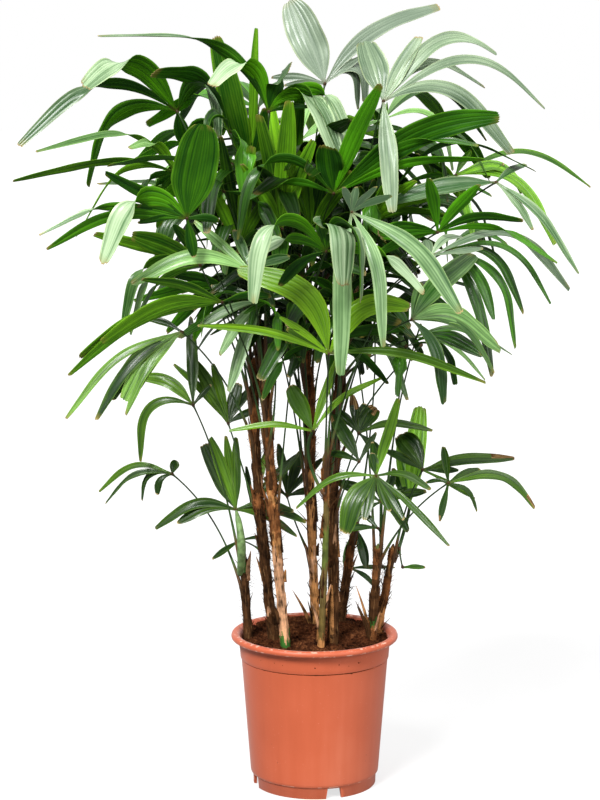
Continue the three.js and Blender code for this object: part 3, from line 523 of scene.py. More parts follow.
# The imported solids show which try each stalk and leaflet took, and which leaflets were left out.
def nodeTree(name):
    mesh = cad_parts[name].data
    tree = kdtree.KDTree(len(mesh.vertices))
    for i, vertex in enumerate(mesh.vertices):
        tree.insert(vertex.co * 1000, i)
    tree.balance()
    return tree


def farthest(tree, points):
    return max(tree.find(Vector(p))[2] for p in points)


def stalkRing(bends, share):
    nearby = (alongSpans(bends, share + 0.05) - alongSpans(bends, share - 0.05)).normalized()
    out = heading(bends[0], bends[3])
    right = up.cross(out).cross(nearby).normalized()
    back = nearby.cross(right)
    return [alongSpans(bends, share) + (right * math.cos(a) + back * math.sin(a)) * frondRule["stalkRadius"]
            for a in (0, turn / 3, turn * 2 / 3)]


def findStalk(frond, tree):
    hub = Vector(frond["hub"])
    host = fronds.get(frond.get("joins"))
    if host:
        starts = [(alongSpans(host["stalk"], spot), None) for spot in joinTries] if host["stalk"] else []
    else:
        starts = [(stalkFoot(cane, frond["fromHeight"] + more, hub), cane)
                  for cane in frond["canes"] for more in fromTries]
    best = (1e9, None, None)
    for start, cane in starts:
        for bow in bowTries:
            bends = stalkCurve(start, hub, bow)
            off = farthest(tree, [p for share in nearEnough["ringsAt"] for p in stalkRing(bends, share)])
            if off < best[0]:
                best = (off, bends, cane)
    frond["onCane"] = best[2]
    return best[1] if best[0] < nearEnough["stalk"] else None


def findLeaflet(frond, leaflet, tree):
    best = (1e9, None)
    for turnMore in turnTries:
        for leanMore in leanTries:
            points, wide, half = leafStations(frond, leaflet, turnMore, leanMore)
            tip = [points[-1] + wide[-1] * half[-1], points[-1] - wide[-1] * half[-1]]
            off = farthest(tree, tip)
            if off < best[0]:
                best = (off, (points, wide, half))
            if off < nearEnough["sure"]:
                return best
    return best


def growCrown():
    trees = {}
    left = []
    for name, frond in fronds.items():
        node = frond.get("joins", name)
        if node not in trees:
            trees[node] = nodeTree(node)
        frond["stalk"] = findStalk(frond, trees[node])
        frond["blades"] = []
        if not frond["stalk"]:
            left.append(name)
            continue
        for leaflet in frond["leaflets"]:
            off, found = findLeaflet(frond, leaflet, trees[node])
            if off < nearEnough["leaflet"]:
                frond["blades"].append((leaflet, found))
            else:
                left.append((name, round(leaflet[0])))
    print("crown grown:", sum(len(f["blades"]) for f in fronds.values()), "leaflets, left out", left)


def newPile():
    return {"points": [], "faces": [], "uvs": [], "blade": [], "slots": [], "sharp": [], "count": 0}


def addToPile(pile, points, faces, uvs, slots, caps=(), sharp=None, blade=None):
    # faces and caps count from this addition's first point; caps close it with triangles
    points = np.asarray(points, float).reshape(-1, 3)
    pile["points"].append(points)
    pile["faces"] += (np.asarray(faces) + pile["count"]).tolist()
    pile["faces"] += [[corner + pile["count"] for corner in cap] for cap in caps]
    pile["uvs"].append(np.asarray(uvs, float).reshape(-1, 2))
    pile["blade"].append(np.full((len(points), 2), 0.5) if blade is None else np.asarray(blade, float))
    pile["slots"] += list(slots)
    pile["sharp"].append(np.zeros(len(points), bool) if sharp is None else np.asarray(sharp, bool))
    pile["count"] += len(points)


def pileToObject(name, pile, paints):
    mesh = bpy.data.meshes.new(name)
    mesh.from_pydata((np.vstack(pile["points"]) * metres).tolist(), [], pile["faces"])
    for paint in paints:
        mesh.materials.append(paint)
    mesh.polygons.foreach_set("material_index", pile["slots"])
    shadeSmooth(mesh)
    corners = np.zeros(len(mesh.loops), int)
    mesh.loops.foreach_get("vertex_index", corners)
    for label, key in (("along", "uvs"), ("blade", "blade")):
        layer = mesh.uv_layers.new(name=label)
        layer.data.foreach_set("uv", np.vstack(pile[key])[corners].astype(np.float32).ravel())
    ends = np.zeros(len(mesh.edges) * 2, int)
    mesh.edges.foreach_get("vertices", ends)
    sharp = np.concatenate(pile["sharp"])[ends.reshape(-1, 2)].all(1)
    mesh.edges.foreach_set("use_edge_sharp", sharp)
    mesh.update()
    return addObject(name, mesh)


def gridFaces(rows, cols, closed=False):
    i, j = np.meshgrid(np.arange(rows - 1), np.arange(cols if closed else cols - 1), indexing="ij")
    k = (j + 1) % cols
    return np.stack([i * cols + j, i * cols + k, (i + 1) * cols + k, (i + 1) * cols + j], -1).reshape(-1, 4)


def endCaps(rows, sides):
    # triangles that close a tube's ends, to two points that follow its rings
    low, last = rows * sides, (rows - 1) * sides
    return ([(low, (j + 1) % sides, j) for j in range(sides)]
            + [(low + 1, last + j, last + (j + 1) % sides) for j in range(sides)])


def unit(vectors):
    return vectors / np.linalg.norm(vectors, axis=-1, keepdims=True)


def tubeToPile(pile, path, radii, sides, slot, squash=1.0):
    # a round or flattened rod along a path, with both ends closed
    path = np.asarray([tuple(p) for p in path], float)
    along = unit(np.gradient(path, axis=0))
    guide = np.array([0, 1, 0]) if abs(along[0][1]) < 0.8 else np.array([1, 0, 0])
    right = unit(np.cross(guide, along))
    back = np.cross(along, right)
    angle = np.arange(sides) * 2 * math.pi / sides
    ring = (right[:, None] * np.cos(angle)[None, :, None]
            + back[:, None] * np.sin(angle)[None, :, None] * squash) * np.asarray(radii, float)[:, None, None]
    rows = len(path)
    lengths = np.concatenate([[0], np.cumsum(np.linalg.norm(np.diff(path, axis=0), axis=1))])
    uvs = np.stack(np.meshgrid(lengths / 100, angle / math.pi, indexing="ij"), -1)[..., ::-1].reshape(-1, 2)
    share = np.concatenate([np.repeat(np.linspace(0, 1, rows), sides), [0, 1]])
    faces = gridFaces(rows, sides, True)
    caps = endCaps(rows, sides)
    addToPile(pile, np.vstack([(path[:, None] + ring).reshape(-1, 3), path[0], path[-1]]), faces,
              np.vstack([uvs, [0, 0], [0, lengths[-1] / 100]]), [slot] * (len(faces) + len(caps)), caps,
              blade=np.stack([np.full(len(share), 0.5), share], -1))


def settle(piece, slot, *nodes):
    if nodes:
        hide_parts(*nodes)
    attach(piece, "root")
    return piece


leafBlade = {"thickness": 0.5, "foldWidth": 7.2, "foldDepth": 0.05, "fullWidthAt": 0.44, "taperFrom": 0.58,
             "bluntTip": (0.30, 0.56), "slimTip": (0.18, 0.36), "bluntFrom": 19, "roundFrom": 45,
             "toothDepth": 0.16, "deepestTooth": 0.07, "roundTooth": 0.3, "channel": 0.30, "shortFrom": 96,
             "shortFull": 0.62, "sway": 0.012, "ripple": 0.05, "rootWidth": 1.8, "colsToFold": 4,
             "rowLength": 6.0, "fewestRows": 10, "mostRows": 44, "tipLength": 1.8, "tipChance": 0.4,
             "rollFrom": 38, "roll": (0.72, 1.0), "mostRoll": 125, "looseRoll": 22, "rollLength": 0.26,
             "tones": 8, "tonesFrom": 80}
# sheen, then the deep and the pale colour of the upper side, and the two of the underside; the saturated
# undersides are painted light shining through the leaf
leafTints = {
    "deep": (0.3, (0.007, 0.04, 0.001), (0.057, 0.203, 0.01), (0.007, 0.058, 0.0004), (0.057, 0.24, 0.002)),
    # a near-black tint, painted shade for the fans deep inside the crown
    "inner": (0.22, (0.003, 0.015, 0.0006), (0.022, 0.081, 0.005), (0.003, 0.02, 0.0003),
              (0.018, 0.088, 0.001)),
    "mid": (0.32, (0.013, 0.075, 0.002), (0.209, 0.39, 0.115), (0.009, 0.075, 0.0008), (0.121, 0.316, 0.008)),
    "dusky": (0.26, (0.011, 0.044, 0.003), (0.09, 0.201, 0.01), (0.008, 0.05, 0.001), (0.055, 0.203, 0.003)),
    # the next four tints have pale upper colours that are painted sheen
    "rolled": (0.45, (0.028, 0.11, 0.018), (0.363, 0.497, 0.285), (0.006, 0.054, 0.0004),
               (0.062, 0.232, 0.001)),
    "bluish": (0.42, (0.022, 0.09, 0.012), (0.281, 0.452, 0.195), (0.01, 0.08, 0.001), (0.066, 0.249, 0.005)),
    "sage": (0.42, (0.085, 0.15, 0.078), (0.374, 0.497, 0.3), (0.016, 0.09, 0.002), (0.077, 0.249, 0.01)),
    "silver": (0.45, (0.15, 0.215, 0.14), (0.347, 0.441, 0.305), (0.03, 0.13, 0.004), (0.121, 0.316, 0.02)),
    "olive": (0.22, (0.042, 0.12, 0.002), (0.138, 0.299, 0.006), (0.034, 0.11, 0.0008),
              (0.132, 0.305, 0.003)),
    "striped": (0.3, (0.005, 0.035, 0.001), (0.143, 0.294, 0.045), (0.004, 0.038, 0.0006),
                (0.097, 0.266, 0.004)),
    "young": (0.3, (0.022, 0.105, 0.002), (0.209, 0.486, 0.02), (0.02, 0.115, 0.001), (0.209, 0.508, 0.008)),
}
underSheen = 0.14
# the colours of the small parts, at the ends of leaflets and on the stalks
extraColors = {"tip": (0.30, 0.235, 0.10), "stalk": (0.020, 0.052, 0.008), "sheath": (0.060, 0.125, 0.030),
               "husk": (0.120, 0.052, 0.019), "hub": (0.055, 0.030, 0.010), "root": (0.075, 0.045, 0.008),
               "scorch": (0.250, 0.200, 0.040), "paleSheath": (0.150, 0.245, 0.085)}
burntColors = ((0.030, 0.014, 0.006), (0.150, 0.085, 0.030), (0.42, 0.27, 0.11))
# how strongly each marking of a leaf shows, and how deep its relief is; crease and darkCrease set the painted
# shade in the fold valleys
leafMarks = {"streak": 0.24, "vein": 0.06, "cloud": 0.24, "stripe": 0.46, "own": 0.17, "ownShade": 0.5,
             "shade": 0.98, "edge": 0.6, "root": 0.65, "fleck": 0.4, "crease": 0.12, "darkCrease": 0.28,
             "darkFrom": 0.24, "veinRelief": 0.4, "streakRelief": 0.6, "relief": 0.4, "glossyRelief": 0.12}

# The next tables go by frond number and by a leaflet's turn. First, how much of the full roll it takes.
rollShares = {4: {115: 0.6}, 5: {147: 1.0, 166: 0.3}, 6: {155: 0.4, 124: 0.85, 158: 0.4}, 7: {132: 1.0},
              10: {128: 0.95, 72: 0.1, 79: 1.0}, 25: {176: 0.05}}
# how bright a leaflet is among its frond's, 0 to 7 and darker still below 0, where chance doesn't settle it;
# the values below 0 on frond 11 are painted shade
ownTones = {1: {50: 0, 46: 1, 54: 1}, 2: {51: 3}, 3: {38: 2}, 4: {60: 6}, 5: {124: 5, 147: 0, 62: 2},
            7: {132: 6, 81: 2}, 8: {104: 2, 77: 0}, 10: {79: 4, 128: 5, 72: 1},
            11: {105: -5, 80: -3, 50: -5, 30: -3, 338: 3, 259: 4, 300: 4}, 12: {322: -2, 14: 5, 49: 1},
            20: {102: 5, 60: 6}, 21: {118: 0}, 25: {176: 6}, 26: {214: 7, 202: 4, 196: 6, 206: 1, 220: 5},
            29: {118: 0, 98: 5, 90: 3}, 33: {73: 1}, 34: {215: 2}, 44: {84: 7}}
# from where a leaflet is scorched
scorched = {36: {16: 0.6}, 37: {12: 0.72, 250: 0.5, 95: 0.8}, 42: {60: 0.45, 100: 0.55}, 43: {118: 0.85}}
# leaflets of the scene's own, which fill a fan
moreLeaflets = {1: [(46, 112, 20, 150, 0.5)], 2: [(62, 108, 21, 4)], 4: [(60, 178, 28, 126, 0.27)],
                7: [(166, 205, 12, 42, 0.5), (174, 198, 15, 38, 0.5)], 10: [(79, 145, 36, 166, 0.42)],
                24: [(205, 115, 16, 22), (222, 100, 15, 30)], 25: [(188, 215, 21, 28, 0.5)],
                28: [(128, 120, 12, 12), (60, 70, 12, 10)],
                29: [(160, 130, 15, 56, 0.38), (170, 92, 17, 42, 0.42), (108, 112, 18, 4), (20, 88, 12, 40)],
                33: [(98, 80, 14, 6), (50, 78, 12, 8)],
                34: [(95, 60, 10, 4), (295, 60, 14, 6), (245, 70, 16, 20)],
                35: [(150, 72, 17, 14), (200, 60, 15, 24), (20, 70, 15, 16), (330, 60, 14, 30)],
                36: [(150, 62, 14, 8)], 37: [(30, 60, 12, 20)], 42: [(130, 50, 14, 10), (78, 48, 16, 4)],
                46: [(190, 95, 16, 20), (160, 80, 14, 10)]}
# the tint of each frond's leaves; the others are deep, a dark tint that paints the shade on the crown's far
# side
frondsOfTint = {"silver": (1,), "sage": (2, 14), "rolled": (4, 5, 7, 10, 18), "bluish": (11, 46),
                "mid": (6, 8, 12, 22, 23, 25, 45, 52, 54, 56), "young": (9, 17, 44), "olive": (20, 21),
                "striped": (26,), "dusky": (27, 28, 29, 30, 32, 33, 34, 35, 36, 37, 42, 43)}
tintOfFrond = {frondName(number): tint for tint, numbers in frondsOfTint.items() for number in numbers}
# thin stalks that cross the open part of the crown, each from a cane at a height to a point (x, y, z)
looseStalks = [("cane_5", 480, (95, -70, 700)), ("cane_5", 470, (40, -60, 668)),
               ("cane_6", 560, (118, -40, 706)), ("cane_6", 520, (96, 30, 690)),
               ("cane_8", 345, (128, -30, 640)), ("cane_8", 340, (52, 10, 660)),
               ("cane_4", 440, (-46, 30, 700)), ("cane_4", 420, (-70, 60, 690)),
               ("cane_3", 500, (-128, -20, 690)), ("cane_2", 420, (-120, 40, 640)),
               ("cane_3", 410, (-30, -30, 640)), ("cane_6", 480, (60, -60, 690)),
               ("cane_4", 380, (-20, 90, 650)), ("cane_5", 420, (30, 20, 640)),
               ("cane_8", 340, (150, 10, 665)), ("cane_6", 470, (150, -20, 640)),
               ("cane_7", 370, (84, -20, 660))]
# whole fans inside the crown, from the canes' side outwards
innerGrowth = {"fans": 36, "lowest": 640, "highest": 905, "nearest": 30, "farthest": 100, "leaflets": 6,
               "length": 160, "width": 27, "fan": 200, "centre": (-8, 45), "turnStep": 137.5,
               "below": (110, 190), "bow": 14, "seed": 23}
# upright fans in the thick of the crown
uprightFans = [
    {"hub": Vector((-46, -62, 806)), "face": (180, 12), "onCane": "cane_4", "from": 640, "leaflets": [
        (87, 182, 28, 3), (100, 165, 22, 3), (74, 135, 20, 8), (115, 110, 18, 12)]},
    {"hub": Vector((-104, -40, 778)), "face": (180, 14), "onCane": "cane_3", "from": 600, "leaflets": [
        (84, 150, 20, 4), (98, 165, 17, 4), (113, 130, 18, 8), (66, 110, 16, 10)]},
    {"hub": Vector((-6, -30, 796)), "face": (180, 14), "onCane": "cane_4", "from": 650, "leaflets": [
        (80, 120, 20, 5), (93, 130, 18, 4), (62, 110, 20, 10), (108, 95, 16, 8)]},
    {"hub": Vector((72, -60, 812)), "face": (180, 30), "onCane": "cane_6", "from": 660, "leaflets": [
        (70, 95, 14, 14), (55, 105, 15, 20), (40, 110, 15, 30), (28, 118, 14, 36), (85, 80, 13, 12),
        (100, 70, 12, 12)]}]
uprightBow = 6


def leafPaint(name, deep, pale, sheen):
    upper = sheen > underSheen
    glossy = sheen > 0.4
    marks = leafMarks
    kit = paintKit(name, {"Roughness": 0.36 if upper else 0.55, "Specular IOR Level": sheen,
                          "Coat Weight": (0.05 if glossy else 0.14) if upper else 0, "Coat Roughness": 0.16})
    maths, band, blend = kit.maths, kit.band, kit.blend
    along = kit.uv("along")
    blade = kit.parts(kit.uv("blade"))
    across = maths("FRACT", blade["X"])
    own = maths("SUBTRACT", maths("DIVIDE", maths("FLOOR", blade["X"]), leafBlade["tones"] - 1.0), 0.5)
    rib = maths("ADD", kit.parts(along)["X"], 0.0 if upper else 0.5)
    crease = band(maths("ABSOLUTE", maths("SUBTRACT", maths("FRACT", rib), 0.5)), 0.17, 0.0)
    wave = kit.add("ShaderNodeTexWave", {"Vector": along, "Scale": math.pi / 5, "Distortion": 0.0})
    veins = wave.outputs["Fac"]
    streak = kit.noise(along, 1.5, 2.5, 0.6, stretch=(1.1, 0.4, 1))
    stripe = kit.noise(along, 1.5, 1.5, stretch=(0.62, 0.13, 1))
    cloud = kit.noise(along, 1.3, 3.0, stretch=(0.22, 1.5, 1))
    fleck = kit.noise(along, 9.0, 1.0, stretch=(1.1, 0.4, 1))
    tone = kit.weighed((streak, marks["streak"]), (veins, marks["vein"]), (cloud, marks["cloud"]),
                       (stripe, marks["stripe"]), (own, marks["own"]))
    middle = tuple(d * 0.6 + p * 0.4 for d, p in zip(deep, pale))
    color = kit.ramp(tone, (0.37, deep), (0.49, middle), (0.61, pale))
    edge = band(maths("ABSOLUTE", maths("SUBTRACT", across, 0.5)), 0.44, 0.49, 0.0, marks["edge"])
    color = blend(edge, color, (pale[0] * 1.2 + 0.05, pale[1] * 1.1 + 0.05, pale[2] + 0.01))
    color = blend(1.0, color, maths("MULTIPLY_ADD", own, marks["ownShade"], marks["shade"]), "MULTIPLY")
    # painted shade along the valley of each fold, stronger on dark leaves
    lines = marks["darkCrease" if max(pale) < marks["darkFrom"] else "crease"]
    color = blend(maths("MULTIPLY", crease, band(cloud, 0.35, 0.65, 0.05, lines)), color, tinted(deep, 0.35))
    color = blend(band(blade["Y"], 0.0, 0.075, marks["root"], 0.0), color, extraColors["root"])
    burnt = maths("MULTIPLY", band(blade["Y"], 0.93, 1.0), band(cloud, 0.42, 0.66))
    color = blend(burnt, color, extraColors["scorch"])
    color = blend(band(fleck, 0.72, 0.78, 0.0, marks["fleck"]), color, tinted(pale, 1.8, (0.03, 0.03, 0.03)))
    kit.wire(color, "Base Color")
    kit.bump(kit.weighed((veins, marks["veinRelief"]), (crease, -1), (streak, marks["streakRelief"])),
             marks["glossyRelief" if glossy else "relief"], 0.0005)
    return kit.material


def plainPaint(name, color, roughness, spread=0.35, scale=60.0, sheen=0.25):
    # a matt or satin colour with fine mottling
    kit = paintKit(name, {"Roughness": roughness, "Specular IOR Level": sheen})
    mottle = kit.noise(kit.place(), scale, 6.0)
    tone = kit.ramp(mottle, (0.32, tinted(color, 1 - spread)), (0.7, tinted(color, 1 + spread)))
    kit.wire(tone, "Base Color")
    kit.bump(mottle, 0.3, 0.0006)
    return kit.material


def burntPaint():
    # dry straw with dark streaks that run with the ribs
    kit = paintKit("leafBurnt", {"Roughness": 0.8, "Specular IOR Level": 0.1})
    streak = kit.noise(kit.uv("along"), 2.4, 5.0, stretch=(2.0, 1.4, 1))
    kit.wire(kit.ramp(streak, *zip((0.38, 0.5, 0.62), burntColors)), "Base Color")
    kit.bump(streak, 0.5, 0.0008)
    return kit.material


def stalkPaint():
    # a pale green sheath at the foot, and dark green beyond it
    kit = paintKit("frondStalk", {"Roughness": 0.4, "Specular IOR Level": 0.3})
    along = kit.parts(kit.uv("blade"))["Y"]
    mottle = kit.noise(kit.place(), 90.0, 4.0)
    colors = [tinted(extraColors["hub"], 0.8), *(extraColors[part] for part in ("husk", "sheath", "stalk"))]
    spot = kit.maths("MULTIPLY_ADD", mottle, 0.16, along)
    kit.wire(kit.ramp(spot, *zip((0.10, 0.22, 0.31, 0.46), colors)), "Base Color")
    kit.bump(mottle, 0.3, 0.0006)
    return kit.material


def ownValue(table, frond, leaflet, usual=None):
    return table.get(frond.get("number"), {}).get(leaflet[0], usual)


def bladeWidth(share, length, halfWidth, tip):
    full = leafBlade["shortFull" if length < leafBlade["shortFrom"] else "fullWidthAt"]
    rise = np.sin(np.clip(share / full, 0, 1) * math.pi / 2) ** 1.12
    taperFrom = max(full, leafBlade["taperFrom"])
    past = np.clip((share - taperFrom) / (1 - taperFrom), 0, 1)
    if halfWidth * 2 > leafBlade["roundFrom"]:
        fall = 0.10 + 0.90 * np.sqrt(np.clip(1 - past ** 2.1, 0, 1))
    else:
        fall = 1 - (1 - tip) * past ** 1.9
    return np.maximum(halfWidth * rise * fall, min(leafBlade["rootWidth"], halfWidth * 0.6))


def flowOf(points):
    return unit(np.gradient(points, axis=0))


def follow(share, values):
    # points or directions that run along a leaflet, at each share of its length
    at = np.linspace(0, 1, len(values))
    return np.stack([np.interp(share, at, values[:, k]) for k in range(3)], -1)


def rollOver(frond, leaflet, points, wide, dice):
    # past its bend a hanging leaflet rolls, until its upper side looks out
    around = math.radians(frond.get("side", 0))
    out = np.array([math.sin(around), -math.cos(around), 0.25])
    flow = flowOf(points)
    late = int(len(points) * 0.8)
    face = np.cross(flow, wide)
    roll = np.full(len(points), math.radians(dice.uniform(-1, 1) * leafBlade["looseRoll"]))
    strength = dice.uniform(*leafBlade["roll"])
    if face[late] @ out < 0.2 and leaflet[3] > leafBlade["rollFrom"]:
        best = np.unwrap(np.arctan2(np.cross(flow, face) @ out, face @ out))
        best -= turn * np.round(best[late] / turn)
        most = math.radians(leafBlade["mostRoll"])
        roll = np.clip(best, -most, most) * ownValue(rollShares, frond, leaflet, strength)
    begun = np.linspace(0, 1, len(points)) - bendPlace(leaflet) + 0.04
    past = np.clip(begun / leafBlade["rollLength"], 0, 1)
    angle = (roll * past * past * (3 - 2 * past))[:, None]
    return wide * np.cos(angle) + np.cross(flow, wide) * np.sin(angle)


def bladeFaces(rows, cols):
    # an upper skin, an under skin and the strips that join their edges
    count = rows * cols
    flat = gridFaces(rows, cols)[:, ::-1]
    faces = [flat, flat[:, ::-1] + count]
    down, across = np.arange(rows - 1) * cols, np.arange(cols - 1)
    last = (rows - 1) * cols
    for start, step, turned in ((down, cols, False), (down + cols - 1, cols, True), (across, 1, True),
                                (across + last, 1, False)):
        strip = np.stack([start, start + step, start + step + count, start + count], -1)
        faces.append(strip if turned else strip[:, ::-1])
    return np.vstack(faces)


def bladeSlots(frond, leaflet, rows, cols, folds, dice):
    # the upper and the under paint, with a dry tip on some leaflets and scorched ribs on a few
    tipped = dice.random() < leafBlade["tipChance"] and leaflet[2] < leafBlade["roundFrom"]
    row, col = np.divmod(np.arange((rows - 1) * (cols - 1)), cols - 1)
    dry = row >= (rows - 2 if tipped else rows)
    top, under = np.where(dry, 2, 0), np.where(dry, 2, 1)
    burntFrom = ownValue(scorched, frond, leaflet)
    if burntFrom:
        rags = np.array([dice.uniform(-0.08, 0.4) for _ in range(folds + 1)])
        burnt = row / (rows - 1) > burntFrom + rags[col * folds // (cols - 1)]
        top, under = np.where(burnt, 3, top), np.where(burnt, 3, under)
    return np.concatenate([top, under, np.full(2 * (rows - 1) + 2 * (cols - 1), 1)])


def bladeToPile(pile, frond, leaflet, stations, dice):
    length, width = leaflet[1], leaflet[2]
    points, wide, _ = stations
    wide = rollOver(frond, leaflet, points, wide, dice)
    folds = max(2, round(width / leafBlade["foldWidth"]))
    cols = folds * leafBlade["colsToFold"] + 1
    rows = max(leafBlade["fewestRows"], min(leafBlade["mostRows"], round(length / leafBlade["rowLength"])))
    x = np.linspace(-1, 1, cols)
    t = np.append(np.linspace(0, 1 - leafBlade["tipLength"] / length, rows - 1), 1)
    # the tip is cut across in short ragged teeth, one to a rib
    phase = (x + 1) / 2 * folds
    tooth = 0.5 - 0.5 * np.cos(turn * phase)
    depth = min(leafBlade["deepestTooth"], leafBlade["toothDepth"] * width / length)
    if width > leafBlade["roundFrom"]:
        depth *= leafBlade["roundTooth"]
    ragged = np.interp(phase, np.arange(folds + 1), [dice.random() for _ in range(folds + 1)])
    slant = dice.uniform(-0.5, 0.5) * depth
    reach = 1 - depth * (0.5 * np.abs(x) ** 1.5 + (1 - tooth) * 0.35 + ragged * 0.55) + slant * x
    share = np.clip(t[:, None] * reach[None, :], 0, 1)
    side = unit(follow(share, wide))
    face = unit(np.cross(follow(share, flowOf(points)), side))
    tip = dice.uniform(*leafBlade["bluntTip" if width > leafBlade["bluntFrom"] else "slimTip"])
    half = bladeWidth(share, length, width / 2, tip)
    # folds, a channel or a ridge along the middle, a sway and a rippled edge
    foldDepth = leafBlade["foldDepth"] * (2 * half / folds)
    ridge = np.cos(turn * phase)[None, :] * foldDepth * dice.uniform(0.8, 1.4)
    channel = dice.uniform(-0.6, 1.0) * leafBlade["channel"]
    bow = (np.abs(x) ** 1.6)[None, :] * half * channel * np.sin(np.clip(share, 0, 1) * math.pi) ** 0.5
    wave = dice.uniform(0, 6)
    sway = np.sin(share * dice.uniform(4, 8) + wave) * leafBlade["sway"] * length * share * (1 - share) * 2
    ripple = np.sin(share * 23 + wave + x[None, :] * 2.0) * np.abs(x)[None, :] ** 3 * half
    level = follow(share, points) + side * (x[None, :] * half)[..., None] + side * (sway * 0.6)[..., None]
    level = level + face * (ridge + bow + sway * 0.5 + ripple * leafBlade["ripple"])[..., None]
    skin = face * (leafBlade["thickness"] / 2)
    slots = bladeSlots(frond, leaflet, rows, cols, folds, dice)
    # short leaflets take the darkest tone, which paints shade on them
    chance = dice.randrange(leafBlade["tones"]) if length > leafBlade["tonesFrom"] else 0
    own = ownValue(ownTones, frond, leaflet, chance)
    uvs = np.stack([np.broadcast_to(phase[None, :], share.shape) + round(wave * 7),
                    share * length / 100 + wave], -1).reshape(-1, 2)
    spots = np.stack([np.broadcast_to((x * 0.499 + 0.5 + own)[None, :], share.shape),
                      t[:, None] + share * 0], -1).reshape(-1, 2)
    edge = np.zeros((rows, cols), bool)
    edge[0, :] = edge[-1, :] = edge[:, 0] = edge[:, -1] = True
    addToPile(pile, np.vstack([(level + skin).reshape(-1, 3), (level - skin).reshape(-1, 3)]),
              bladeFaces(rows, cols), np.vstack([uvs, uvs]), slots,
              sharp=np.concatenate([edge.ravel(), edge.ravel()]), blade=np.vstack([spots, spots]))


# a stalk's radii, the share of the way at which each is reached, and the stouter ones by frond number
stalkShape = {"foot": 2.4, "flare": 1.3, "middle": 1.25, "waist": 0.9, "hub": 1.5, "sheathLength": 52,
              "at": (0, 0.12, 0.38, 0.94, 1), "stout": {29: 4.8, 44: 2.6, 35: 2.6, 21: 2.4},
              "sheathFrom": 4, "sheath": (4.6, 5.2, 6.6, 4.4, 1.5), "sheathAt": (0, 0.1, 0.45, 0.85, 1)}
hubShape = {"size": 2.4, "along": (-2.2, -1.2, -0.4, 0.4, 1.0), "radii": (0.45, 0.75, 1.0, 0.85, 0.35),
            "squash": 0.7}


def smoothStalk(frond, steps=26):
    # the bowed run through the rule's four bends, with its foot sunk into what carries it
    a, b, c, d = frond["stalk"]
    run = bowedRun(a, b * 2.25 - a - d * 0.25, d, np.linspace(0, 1, steps))
    if not frond.get("onCane"):
        return run
    stout = frond.get("number") in stalkShape["stout"]
    axis, _ = caneAt(canes[frond["onCane"]], a.z - stalkShape["sheathLength"] * (-0.06 if stout else 1))
    return [axis, axis.lerp(a, 0.55)] + run


def stalkToPile(pile, frond):
    path = smoothStalk(frond)
    share = np.linspace(0, 1, len(path))
    middle = stalkShape["stout"].get(frond.get("number"), stalkShape["middle"])
    foot = max(stalkShape["foot"], middle)
    radii = np.interp(share, stalkShape["at"], [foot * stalkShape["flare"], foot, middle,
                                                middle * stalkShape["waist"], stalkShape["hub"]])
    sheathed = middle > stalkShape["sheathFrom"]
    if sheathed:
        radii = np.interp(share, stalkShape["sheathAt"], stalkShape["sheath"])
    tubeToPile(pile, path, radii, 9, 2 if sheathed else 0)
    toHub = (path[-1] - path[-2]).normalized()
    knot = [path[-1] + toHub * k * hubShape["size"] for k in hubShape["along"]]
    tubeToPile(pile, knot, np.array(hubShape["radii"]) * hubShape["size"], 10, 1, hubShape["squash"])


def growInnerFans():
    # whole fans on the canes' side of the crown, by the same rule as the far fronds
    g = innerGrowth
    dice = random.Random(g["seed"])
    fans = []
    for i in range(g["fans"]):
        height = g["lowest"] + (g["highest"] - g["lowest"]) * (i + 0.5) / g["fans"]
        side = g["turnStep"] * i + dice.uniform(-15, 15)
        reach = dice.uniform(g["nearest"], g["farthest"])
        hub = Vector((g["centre"][0] + math.sin(math.radians(side)) * reach,
                      g["centre"][1] - math.cos(math.radians(side)) * reach, height))
        cane = min((c for c in tallCanes if caneTop(c) > height - g["below"][1]),
                   key=lambda c: (Vector(canes[c]["points"][-1][:2]) - hub.xy).length, default="cane_4")
        foot = stalkFoot(cane, height - dice.uniform(*g["below"]), hub)
        fan = {"hub": hub, "side": side, "face": (180, 35 + dice.random() * 30), "onCane": cane,
               "stalk": stalkCurve(foot, hub, dice.uniform(-g["bow"], g["bow"])), "leaflets": []}
        for k in range(g["leaflets"]):
            spot = k / (g["leaflets"] - 1) - 0.5
            fan["leaflets"].append((90 + g["fan"] * spot + dice.uniform(-8, 8),
                                    g["length"] * (1 - 0.5 * abs(spot)) * dice.uniform(0.8, 1.15),
                                    g["width"] * dice.uniform(0.5, 1.0), dice.uniform(25, 85)))
        fans.append(fan)
    return fans


def fanToPiles(stalks, leaves, fan, leaflets, dice):
    # a fan's stalk, the leaflets that its solid shows, and others by the same rule
    stalkToPile(stalks, fan)
    for leaflet, stations in fan.get("blades", []) + [(more, leafStations(fan, more)) for more in leaflets]:
        bladeToPile(leaves, fan, leaflet, stations, dice)


